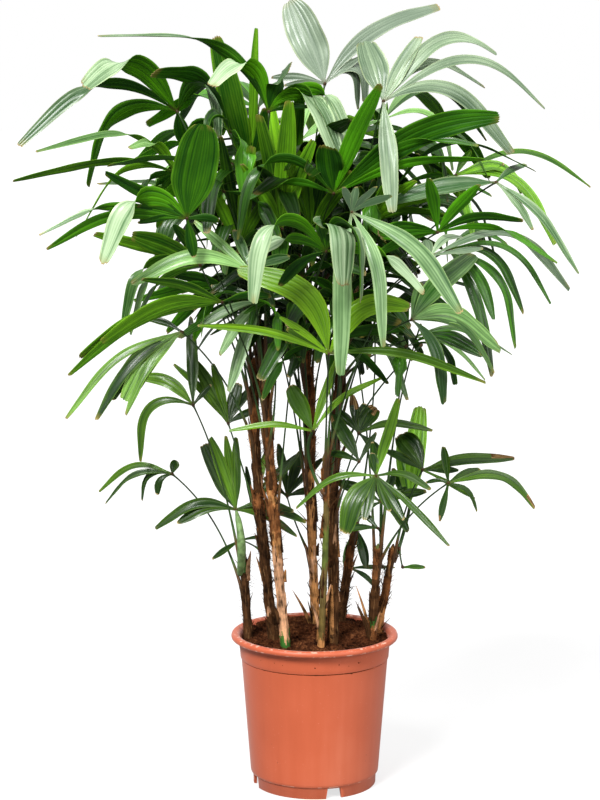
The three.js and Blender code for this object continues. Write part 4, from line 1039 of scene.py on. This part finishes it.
def makeFronds():
    paints = {tint: [leafPaint("leafTop_" + tint, top, topPale, sheen),
                     leafPaint("leafUnder_" + tint, under, underPale, underSheen)]
              for tint, (sheen, top, topPale, under, underPale) in leafTints.items()}
    dry = [plainPaint("leafTip", extraColors["tip"], 0.7), burntPaint()]
    stalkPaints = [stalkPaint(), plainPaint("frondHub", extraColors["hub"], 0.6),
                   plainPaint("paleSheath", extraColors["paleSheath"], 0.5, 0.45, 130.0)]
    stalks, upright, lowInner, highInner = newPile(), newPile(), newPile(), newPile()
    piles = {}
    for name, frond in fronds.items():
        if frond["stalk"]:
            leaves = piles.setdefault(frond.get("joins", name), newPile())
            fanToPiles(stalks, leaves, frond, moreLeaflets.get(frond.get("number"), ()), random.Random(name))
    for fan in uprightFans:
        fan["stalk"] = stalkCurve(skinPoint(fan["onCane"], fan["from"], fan["hub"]), fan["hub"], uprightBow)
        fanToPiles(stalks, upright, fan, fan["leaflets"], random.Random(fan["from"] + 7))
    for i, fan in enumerate(growInnerFans()):
        inner = lowInner if i < innerGrowth["fans"] // 2 else highInner
        fanToPiles(stalks, inner, fan, fan["leaflets"], random.Random(i))
    for i, (cane, height, end) in enumerate(looseStalks):
        end = Vector(end)
        stalk = stalkCurve(skinPoint(cane, height, end), end, (-1) ** i * (8 + i))
        stalkToPile(stalks, {"onCane": cane, "stalk": stalk})
    made = [("leaves_" + node, pile, paints[tintOfFrond.get(node, "deep")] + dry, [node])
            for node, pile in piles.items()]
    # the fans inside the crown take a near-black tint that paints their shade
    made += [("lowInnerLeaves", lowInner, paints["inner"] + dry, []),
             ("highInnerLeaves", highInner, paints["inner"] + dry, []),
             ("uprightLeaves", upright, paints["striped"] + dry, []),
             ("frondStalks", stalks, stalkPaints, [])]
    triangles = 0
    for name, pile, coats, nodes in made:
        piece = settle(pileToObject(name, pile, coats), "fronds", *nodes)
        triangles += sum(len(p.vertices) - 2 for p in piece.data.polygons)
    print("fronds made:", len(piles), "pieces,", triangles, "triangles")


caneSkin = {"sides": 30, "ringStep": 2.6, "sheathLength": 46, "sheathTilt": 9, "sunk": 9, "closeOver": 5}
# each band of a cane is (share of its length where it starts, finish)
caneBands = {
    "cane_1": [(0, "fibre"), (0.56, "green"), (0.77, "fibre"), (0.86, "straw"), (0.92, "moss")],
    "cane_2": [(0, "fibre"), (0.35, "bark"), (0.42, "fibre"), (0.7, "bark")],
    "cane_3": [(0, "green"), (0.03, "straw"), (0.24, "tan"), (0.28, "bark"), (0.38, "tan"), (0.42, "bark"),
               (0.8, "fibre")],
    "cane_4": [(0, "tan"), (0.1, "straw"), (0.13, "tan"), (0.22, "fibre"), (0.26, "tan"), (0.33, "fibre"),
               (0.4, "bark"), (0.75, "fibre")],
    "cane_5": [(0, "tan"), (0.05, "stem"), (0.3, "moss"), (0.45, "stem"), (0.62, "bark"), (0.9, "stem")],
    "cane_6": [(0, "fibre"), (0.4, "bark"), (0.45, "fibre"), (0.8, "bark")],
    "cane_7": [(0, "fibre"), (0.5, "bark"), (0.7, "fibre")],
    "cane_8": [(0, "bark"), (0.14, "green"), (0.18, "fibre"), (0.5, "bark"), (0.62, "fibre"), (0.7, "bark"),
               (0.94, "moss")],
    "cane_9": [(0, "green"), (0.08, "tan"), (0.3, "bark"), (0.6, "tan"), (0.8, "bark"), (0.93, "tan")],
}
caneColors = {"fibre": (0.058, 0.025, 0.009), "bark": (0.175, 0.066, 0.021), "straw": (0.44, 0.235, 0.125),
              "tan": (0.37, 0.170, 0.058), "stem": (0.13, 0.090, 0.022), "green": (0.030, 0.120, 0.015),
              "moss": (0.10, 0.13, 0.02)}
caneFinishes = list(caneColors)
smoothFinishes = ("stem", "green", "moss")
# how far each kind of skin stands out: always, on ridges, in fine grain, on sheaths or rings
caneRelief = {"fibre": (-0.04, 0.26, 0.18, 0.17), "bark": (-0.04, 0.26, 0.18, 0.17),
              "straw": (-0.17, 0.16, 0.08, 0.12), "tan": (-0.17, 0.16, 0.08, 0.12),
              "stem": (-0.12, 0.03, 0, 0.16), "green": (-0.12, 0.03, 0, 0.16), "moss": (-0.12, 0.03, 0, 0.16)}
sheaths = {"every": 30, "length": (14, 48), "width": (1.6, 5.0), "lean": (0.04, 0.32), "above": 4,
           "below": 30, "kinds": ["straw", "tan", "bark", "fibre", "fibre"]}
spikes = {"every": 13, "length": (7, 22), "width": 0.75, "lean": (0.3, 1.0), "above": 10, "below": 12,
          "highest": 330, "dense": ("cane_1", "cane_2", "cane_6")}
# the stubs of dead stalks, each by its bearing, length and width
deadStubs = {"cane_8": [(-70, 60, 3.2), (-130, 74, 3.0), (-95, 48, 3.6), (-40, 40, 2.6)],
             "cane_4": [(-90, 62, 3.4)], "cane_6": [(-15, 92, 5.2)]}


def canePaint(finish):
    # long dark cracks, pale flakes and fine fibres that run up the cane
    own = caneColors[finish]
    smooth = finish in smoothFinishes
    kit = paintKit("cane_" + finish, {"Roughness": 0.5 if smooth else 0.9,
                                      "Specular IOR Level": 0.3 if smooth else 0.08})
    along = kit.uv("along")
    fibres = kit.noise(along, 4.0, 6.0, 0.7, stretch=(9, 1.6, 1))
    broad = kit.noise(along, 2.6, 4.0, 0.65, stretch=(2.4, 0.9, 1))
    flakes = kit.noise(along, 3.1, 3.0, 0.6, stretch=(3.2, 1.1, 1))
    tone = kit.mix(0.4, kit.mix(0.5, fibres, broad), kit.noise(kit.place(), 70.0, 5.0))
    color = kit.ramp(tone, (0.42, tinted(own, 0.45 if smooth else 0.14)), (0.5, own),
                     (0.58, tinted(own, 1.4 if smooth else 1.7)))
    flake = kit.band(flakes, 0.58, 0.66, end=0.15 if smooth else 0.65)
    color = kit.blend(flake, color, tinted(own, 0.6, (0.22, 0.12, 0.05)))
    crack = kit.band(kit.mix(0.5, fibres, flakes), 0.42, 0.36, end=0.85)
    kit.wire(kit.blend(crack, color, (0.012, 0.005, 0.002)), "Base Color")
    kit.bump(tone, 0.8, 0.0015)
    return kit.material


def roughness(around, height, grain, rise, dice):
    return noise.noise(Vector((math.cos(around) * grain, math.sin(around) * grain, height * rise + dice)))


def standsOut(finish, around, height, dice):
    # how far the skin stands out, as a share of the radius
    always, ridges, fine, sheath = caneRelief[finish]
    tilt = caneSkin["sheathTilt"] * math.sin(around + dice)
    on = ((height + tilt) / caneSkin["sheathLength"]) % 1
    if finish in smoothFinishes:
        on = math.exp(-((on - 0.5) * caneSkin["sheathLength"] / 1.6) ** 2)
    return (always + ridges * roughness(around, height, 3.4, 0.018, dice)
            + fine * roughness(around, height, 9, 0.05, dice) + sheath * on)


def makeCane(name, cane, paints):
    points = canePoints(cane)
    points[0] = points[0] - (points[1] - points[0]).normalized() * caneSkin["sunk"]
    total = sum((b - a).length for a, b in zip(points, points[1:]))
    rows = int(total / caneSkin["ringStep"]) + 1
    dice = random.Random(name).uniform(0, 40)
    sides = caneSkin["sides"]
    skin, uvs, slots = [], [], []
    for i in range(rows + 1):
        share = i / rows
        centre = curvePoint(points, share)
        ahead, behind = curvePoint(points, min(1, share + 0.01)), curvePoint(points, max(0, share - 0.01))
        along = (ahead - behind).normalized()
        right = Vector((0, 1, 0)).cross(along).normalized()
        back = along.cross(right)
        radius = caneRadius(cane, share) * min(1, (1 - share) * rows / caneSkin["closeOver"] + 0.25)
        for j in range(sides):
            around = turn * j / sides
            ragged = share + 0.012 * math.sin(around * 3 + dice) + 0.01 * math.sin(around * 7)
            finish = [kind for start, kind in caneBands[name] if start <= max(0, ragged)][-1]
            out = radius * (1 + standsOut(finish, around, centre.z, dice))
            skin.append(centre + (right * math.cos(around) + back * math.sin(around)) * out)
            uvs.append((j / sides * 2, centre.z / 100))
            if i < rows:
                slots.append(caneFinishes.index(finish))
    skin += [curvePoint(points, 0), curvePoint(points, 1)]
    pile = newPile()
    addToPile(pile, [tuple(p) for p in skin], gridFaces(rows + 1, sides, True), uvs + [(0, 0), (0, 9)],
              slots + [slots[0]] * sides + [slots[-1]] * sides, endCaps(rows + 1, sides))
    addSheaths(pile, name, cane, points[-1].z)
    return settle(pileToObject("relief_" + name, pile, paints), "canes", name)


def standOff(pile, cane, height, around, length, lean, width, kind, flat):
    # one dry strip that rises from a cane and leans away from it
    centre, radius = caneAt(cane, height)
    ahead, _ = caneAt(cane, height + 10)
    along = (ahead - centre).normalized()
    out = Vector((math.cos(around), math.sin(around), 0))
    out = (out - along * out.dot(along)).normalized()
    steps = np.linspace(0, 1, 8)
    path = [centre + out * (radius * 0.78 + length * lean * t ** 1.4) + along * length * t for t in steps]
    tubeToPile(pile, path, [width * (1 - t) ** 0.7 + 0.22 for t in steps], 6, caneFinishes.index(kind), flat)


def addSheaths(pile, name, cane, top):
    # dry sheath ends that stand off a cane, thin spikes among them, and the stubs of dead stalks
    dice = random.Random(name + "sheath")
    height = caneStart + sheaths["above"]
    while height < top - sheaths["below"]:
        kind = dice.choice(sheaths["kinds"])
        standOff(pile, cane, height, dice.uniform(0, turn), dice.uniform(*sheaths["length"]),
                 dice.uniform(*sheaths["lean"]), dice.uniform(*sheaths["width"]), kind, 0.35)
        height += sheaths["every"] * dice.uniform(0.35, 1.1)
    height = caneStart + spikes["above"]
    highest = min(top - spikes["below"], spikes["highest"] if name in spikes["dense"] else top)
    while height < highest:
        standOff(pile, cane, height, dice.uniform(0, turn), dice.uniform(*spikes["length"]),
                 dice.uniform(*spikes["lean"]), spikes["width"], "fibre", 0.8)
        height += spikes["every"] * dice.uniform(0.4, 1.6)
    for bearing, length, width in deadStubs.get(name, ()):
        standOff(pile, cane, caneStart - 2, math.radians(bearing - 90), length, 0.42 if length < 80 else 0.04,
                 width, "tan" if length > 60 else "fibre", 0.5)


# Geometry Nodes grow what repeats over a surface: fibres on the canes, crumbs on the peat. Sizes in metres.
fibreGrowth = {"Density": 52000.0, "Length": 0.013, "Thickness": 0.00028, "Seed": 5}
fibreColors = {"fibre": ("fibreDark", (0.045, 0.020, 0.008)), "bark": ("fibreBrown", (0.15, 0.060, 0.022))}
crumbGrowth = {"Density": 62000.0, "Size": 0.0018, "Seed": 11}


def scatterTree(name, sizes, shapeOf, turnOf, scales):
    # scatters one small shape over a surface; its sizes and its paint are named inputs
    tree = bpy.data.node_groups.new(name, "GeometryNodeTree")
    tree.interface.new_socket("Geometry", in_out="INPUT", socket_type="NodeSocketGeometry")
    tree.interface.new_socket("Geometry", in_out="OUTPUT", socket_type="NodeSocketGeometry")
    keys = {}
    for label, value in sizes.items():
        kind = "NodeSocketInt" if isinstance(value, int) else "NodeSocketFloat"
        socket = tree.interface.new_socket(label, in_out="INPUT", socket_type=kind)
        socket.default_value = value
        keys[label] = socket.identifier
    socket = tree.interface.new_socket("Material", in_out="INPUT", socket_type="NodeSocketMaterial")
    keys["Material"] = socket.identifier
    add = nodeAdder(tree)
    given = add("NodeGroupInput").outputs
    spread = add("GeometryNodeDistributePointsOnFaces",
                 {"Mesh": given["Geometry"], "Density": given["Density"], "Seed": given["Seed"]}).outputs
    placed = add("GeometryNodeInstanceOnPoints",
                 {"Points": spread["Points"], "Instance": shapeOf(add, given),
                  "Rotation": turnOf(add, given, spread), "Scale": scales(add, given)})
    real = add("GeometryNodeRealizeInstances", {"Geometry": placed.outputs["Instances"]})
    done = add("GeometryNodeSetMaterial",
               {"Geometry": real.outputs["Geometry"], "Material": given["Material"]})
    add("NodeGroupOutput", {"Geometry": done.outputs["Geometry"]})
    return tree, keys


def chanceOf(add, given, low, high):
    return add("FunctionNodeRandomValue", {"Min": low, "Max": high, "Seed": given["Seed"]},
               data_type="FLOAT_VECTOR").outputs["Value"]


def bentHair(add, given):
    # a thin cone that bends aside more and more towards its tip
    hair = add("GeometryNodeMeshCone", {"Vertices": 3, "Side Segments": 4, "Radius Top": 0.00004,
                                        "Radius Bottom": given["Thickness"], "Depth": given["Length"]},
               fill_type="TRIANGLE_FAN")
    value = add("ShaderNodeSeparateXYZ", {0: add("GeometryNodeInputPosition").outputs[0]}).outputs["Z"]
    length = given["Length"]
    for how, by in (("DIVIDE", length), ("POWER", 2.0), ("MULTIPLY", length), ("MULTIPLY", 0.35)):
        value = add("ShaderNodeMath", {0: value, 1: by}, operation=how).outputs[0]
    aside = add("ShaderNodeCombineXYZ", {"X": value})
    bent = add("GeometryNodeSetPosition", {"Geometry": hair.outputs["Mesh"], "Offset": aside.outputs[0]})
    return bent.outputs["Geometry"]


def hairTurn(add, given, spread):
    # partly along the surface's normal, and otherwise any way
    outward = add("ShaderNodeVectorMath", {0: spread["Normal"], "Scale": 0.3}, operation="SCALE")
    wander = chanceOf(add, given, (-0.7, -0.7, -0.4), (0.7, 0.7, 1.3))
    lie = add("ShaderNodeVectorMath", {0: outward.outputs[0], 1: wander}, operation="ADD")
    return add("FunctionNodeAlignRotationToVector", {"Vector": lie.outputs[0]}, axis="Z").outputs["Rotation"]


def hairScale(add, given):
    return add("FunctionNodeRandomValue", {2: 0.35, 3: 1.3, "Seed": given["Seed"]},
               data_type="FLOAT").outputs[1]


def crumb(add, given):
    return add("GeometryNodeMeshIcoSphere", {"Radius": given["Size"], "Subdivisions": 1}).outputs["Mesh"]


def crumbTurn(add, given, spread):
    return add("FunctionNodeRandomValue", {"Min": (0.0, 0.0, 0.0), "Max": (6.3, 6.3, 6.3)},
               data_type="FLOAT_VECTOR").outputs["Value"]


def crumbScale(add, given):
    return chanceOf(add, given, (0.3, 0.3, 0.25), (1.6, 1.1, 0.9))


def growOver(piece, slot, points, faces, tree, keys, values):
    # runs a tree over some faces and keeps what grows on them as a plain mesh
    bed = bpy.data.meshes.new("bed")
    bed.from_pydata(points, [], faces)
    grower = addObject("grower", bed)
    layer = grower.modifiers.new("growth", "NODES")
    layer.node_group = tree
    for label, value in values.items():
        layer[keys[label]] = value
    bpy.context.view_layer.update()
    mesh = bpy.data.meshes.new_from_object(grower.evaluated_get(bpy.context.evaluated_depsgraph_get()))
    mesh.name = piece
    bpy.data.objects.remove(grower)
    shadeSmooth(mesh)
    settle(addObject(piece, mesh), slot)


def growFibres(piece, name, finish, tree, keys, paint):
    wanted = caneFinishes.index(finish)
    faces = [list(p.vertices) for p in piece.data.polygons
             if p.material_index == wanted and len(p.vertices) == 4]
    if faces:
        points = [v.co[:] for v in piece.data.vertices]
        seed = fibreGrowth["Seed"] + sum(map(ord, name + finish))
        growOver(f"fibres_{finish}_{name}", "canes", points, faces, tree, keys,
                 {**fibreGrowth, "Seed": seed, "Material": paint})


def makeCanes():
    paints = [canePaint(finish) for finish in caneFinishes]
    hairs = {finish: plainPaint(name, color, 0.9, sheen=0.05)
             for finish, (name, color) in fibreColors.items()}
    tree, keys = scatterTree("caneFibres", fibreGrowth, bentHair, hairTurn, hairScale)
    for name, cane in canes.items():
        piece = makeCane(name, cane, paints)
        for finish, paint in hairs.items():
            growFibres(piece, name, finish, tree, keys, paint)
    print("canes made:", len(canes))


potShape = {"rimRadius": 120, "height": 222, "rimDrop": 8, "collarRadius": 109, "stepHeight": 186,
            "stepRadius": 105.5, "footRadius": 92.5, "footHeight": 17, "ringRadius": 88.8, "wall": 2.4,
            "floor": 3, "sides": 192, "notches": 4, "notchWidth": 19, "notchHeight": 15, "firstNotch": -72,
            "notchSlant": 0.024, "notchEdge": 0.0015, "wallRings": 12, "collarRings": 5, "wobble": 0.0011,
            "sharpFrom": 38}
potColor = {"body": (0.490, 0.098, 0.038), "pale": (0.545, 0.132, 0.061), "dusk": (0.430, 0.080, 0.028),
            "dirt": (0.10, 0.03, 0.015), "worn": (0.80, 0.50, 0.38)}
# where the pot is painted pale: pale from wear under its rim and over its foot, and a painted highlight on
# its rim's top edge. Each is a height and a reach from it, in metres, and how much is spared.
potWear = ((0.2146, 0.0013, 0.53), (0.0176, 0.0009, 0.50), (0.2215, 0.0009, 0.56))


def potProfile():
    # radius and height of each ring, from under the foot over the rim to the middle of the floor
    p = potShape
    ring, foot, step, collar, rim = [p[k + "Radius"] for k in ("ring", "foot", "step", "collar", "rim")]
    low, high, top, wall = p["footHeight"], p["stepHeight"], p["height"], p["wall"]
    lip, floor = top - p["rimDrop"], low + p["floor"]
    outline = [(ring - 4, 0), (ring - 0.5, 0), (ring, 0.6), (ring + 0.5, low - 0.6), (ring + 1.0, low),
               (foot - 1.0, low + 0.3), (foot - 0.2, low + 1.2), (foot + 0.3, low + 5)]
    for k in range(1, p["wallRings"]):
        t = k / p["wallRings"]
        outline.append((foot + 0.3 + (step - foot - 0.3) * t, low + 5 + (high - low - 5) * t))
    outline += [(step, high - 1.4), (step - 0.7, high - 0.9), (step - 0.7, high - 0.3),
                (step + 1.0, high + 0.2), (step + 1.4, high + 1.0)]
    for k in range(1, p["collarRings"]):
        t = k / p["collarRings"]
        outline.append((step + 1.4 + (collar - step - 1.4) * t, high + 1.2 + (lip - 1.2 - high - 1.2) * t))
    outline += [(collar, lip - 1.2), (collar + 0.8, lip - 0.3), (rim - 3.2, lip - 0.4),
                (rim - 1.4, lip - 0.1), (rim - 0.4, lip + 0.9), (rim, lip + 2.4), (rim - 0.1, lip + 4.2),
                (rim - 1.0, top - 1.5), (rim - 2.4, top - 0.4), (rim - 4.0, top), (collar + 3.4, top - 0.2),
                (collar + 1.4, top - 1.0), (collar - 0.8, top - 3.2), (collar - wall, top - 7),
                (step - wall, high), (foot - wall, floor + 2), (foot - wall - 2, floor), (0, floor),
                (0, low), (ring - 5, low), (ring - 4, low - 1)]
    return outline


def potColumns():
    # even columns and a pair at each edge of a notch, as (angle, in a notch, the way its edge leans)
    p = potShape
    half = p["notchWidth"] / 2 / p["ringRadius"]
    middles = [math.radians(p["firstNotch"] + 360 / p["notches"] * n) % turn for n in range(p["notches"])]
    edges = [(middle - half, middle + half) for middle in middles]
    columns = []
    for k in range(p["sides"]):
        angle = turn * k / p["sides"]
        if all(min(abs(angle - a), abs(angle - b)) >= p["notchSlant"] * 1.25 for a, b in edges):
            columns.append((angle, any(a < angle < b for a, b in edges), 0))
    gap = p["notchEdge"]
    for a, b in edges:
        columns += [(a - gap, False, -1), (a + gap, True, -1), (b - gap, True, 1), (b + gap, False, 1)]
    return sorted(columns)


def specks(kit, place, size, reach):
    cells = kit.add("ShaderNodeTexVoronoi", {"Vector": place, "Scale": size}).outputs["Distance"]
    return kit.maths("LESS_THAN", cells, reach)


def potPaint():
    kit = paintKit("potPlastic", {"Specular IOR Level": 0.45, "Sheen Weight": 0.18, "Sheen Roughness": 0.4})
    maths = kit.maths
    place = kit.place()
    rubs = kit.noise(place, 1.0, 6.0, stretch=(60, 60, 3))
    tone = kit.mix(0.35, kit.noise(place, 7.0, 3.0), rubs)
    color = kit.ramp(tone, (0.3, potColor["dusk"]), (0.5, potColor["body"]), (0.7, potColor["pale"]))
    few = maths("GREATER_THAN", kit.noise(place, 21.0, 2.0), 0.60)
    color = kit.blend(maths("MULTIPLY", few, specks(kit, place, 95.0, 0.055)), color, potColor["dirt"])
    # edges pale from wear, a painted highlight on the rim's top edge, and fine dust
    height = kit.parts(place)["Z"]
    chips = kit.noise(place, 130.0, 3.0)
    worn = maths("MULTIPLY", specks(kit, place, 160.0, 0.06), 0.35)
    for level, reach, least in potWear:
        near = maths("COMPARE", maths("SUBTRACT", height, level), 0.0, reach)
        patch = maths("MULTIPLY", near, kit.band(chips, least, least + 0.1, end=0.7))
        worn = maths("MAXIMUM", worn, patch)
    kit.wire(kit.blend(worn, color, potColor["worn"]), "Base Color")
    kit.wire(kit.band(rubs, 0.0, 1.0, 0.36, 0.56), "Roughness")
    kit.bump(maths("ADD", kit.noise(place, 420.0, 3.0), rubs), 0.12, 0.0004)
    return kit.material


def smoothPiece(name, points, faces, paint):
    # a mesh with its doubles merged and every face turned outwards
    mesh = bpy.data.meshes.new(name)
    mesh.from_pydata((np.array(points) * metres).tolist(), [], faces)
    work = bmesh.new()
    work.from_mesh(mesh)
    bmesh.ops.remove_doubles(work, verts=work.verts, dist=0.00001)
    bmesh.ops.recalc_face_normals(work, faces=work.faces)
    work.to_mesh(mesh)
    work.free()
    mesh.materials.append(paint)
    shadeSmooth(mesh)
    return addObject(name, mesh)


def makePot():
    outline, columns = potProfile(), potColumns()
    cut = potShape["notchHeight"]
    points = []
    for column, inNotch, lean in columns:
        for radius, height in outline:
            z = cut + height * 0.02 if inNotch and height < cut else height
            angle = column + lean * potShape["notchSlant"] * max(0, 1 - z / cut)
            wobble = 1 + potShape["wobble"] * math.sin(angle * 2 + 0.7) * (height / potShape["height"])
            points.append((math.cos(angle) * radius * wobble, math.sin(angle) * radius * wobble, z))
    rows, cols = len(columns), len(outline)
    faces = []
    for i in range(rows):
        for j in range(cols):
            here, after, beside = i * cols, (i + 1) % rows * cols, (j + 1) % cols
            faces.append([here + j, here + beside, after + beside, after + j])
    piece = smoothPiece("potShell", points, faces, potPaint())
    piece.data.set_sharp_from_angle(angle=math.radians(potShape["sharpFrom"]))
    settle(piece, "pot", "pot")
    print("pot made:", len(piece.data.polygons), "faces")


soilShape = {"edge": 204, "backHeap": 15, "rings": 60, "sides": 160, "lumps": 5.6, "frontDrop": 5,
             "underside": 150, "undersideRadius": 100, "mound": 5, "moundReach": 15, "highest": 219,
             "intoWall": 0.6}
soilColors = ((0.010, 0.0024, 0.0006), (0.070, 0.022, 0.008), (0.20, 0.075, 0.028))  # dark to light
# the grain, the plane and the weight of each size of lump
soilLumps = ((0.03, 2, 1), (0.09, 5, 0.6), (0.25, 9, 0.55))


def soilHeight(x, y):
    s = soilShape
    back = max(0, min(1, (y + 30) / 110))
    heap = s["backHeap"] * back ** 1.2 - s["frontDrop"] * max(0, -y / 100)
    lumps = sum(weight * noise.noise(Vector((x * grain, y * grain, plane)))
                for grain, plane, weight in soilLumps)
    near = min(math.hypot(x - c["points"][0][0], y - c["points"][0][1]) for c in canes.values())
    mound = s["mound"] * math.exp(-(near / s["moundReach"]) ** 2)
    return min(s["edge"] + heap + mound + lumps * s["lumps"], s["highest"])


def soilPaint():
    kit = paintKit("peat", {"Roughness": 0.95, "Specular IOR Level": 0.05})
    place = kit.place()
    crumbs = kit.noise(place, 210.0, 8.0, 0.7)
    both = kit.mix(0.42, crumbs, kit.noise(place, 38.0, 3.0))
    kit.wire(kit.ramp(both, *zip((0.42, 0.53, 0.64), soilColors)), "Base Color")
    kit.bump(crumbs, 0.9, 0.003)
    return kit.material


def makeSoil():
    s = soilShape
    rings, sides = s["rings"], s["sides"]
    reach = potShape["collarRadius"] - potShape["wall"] + s["intoWall"]
    points = [(0, 0, soilHeight(0, 0))]
    for i in range(1, rings + 2):
        radius = reach * i / rings if i <= rings else s["undersideRadius"]
        for j in range(sides):
            x, y = math.cos(turn * j / sides) * radius, math.sin(turn * j / sides) * radius
            points.append((x, y, soilHeight(x, y) if i <= rings else s["underside"]))
    points.append((0, 0, s["underside"]))
    low = 1 + rings * sides
    faces = [[0, 1 + j, 1 + (j + 1) % sides] for j in range(sides)]
    faces += (gridFaces(rings + 1, sides, True)[:, [0, 3, 2, 1]] + 1).tolist()
    faces += [[len(points) - 1, low + (j + 1) % sides, low + j] for j in range(sides)]
    paint = soilPaint()
    settle(smoothPiece("peatHeap", points, faces, paint), "soil", "soil")
    tree, keys = scatterTree("soilCrumbs", crumbGrowth, crumb, crumbTurn, crumbScale)
    growOver("peatCrumbs", "soil", (np.array(points) * metres).tolist(), [f for f in faces if max(f) < low],
             tree, keys, {**crumbGrowth, "Material": paint})
    print("soil made")


growCrown()
makeCamera()
makeSky()
makeSoftLight("keyLight", studio["key"])
makeSoftLight("fillLight", studio["fill"])
makeFloor()
makePot()
makeSoil()
makeCanes()
makeFronds()
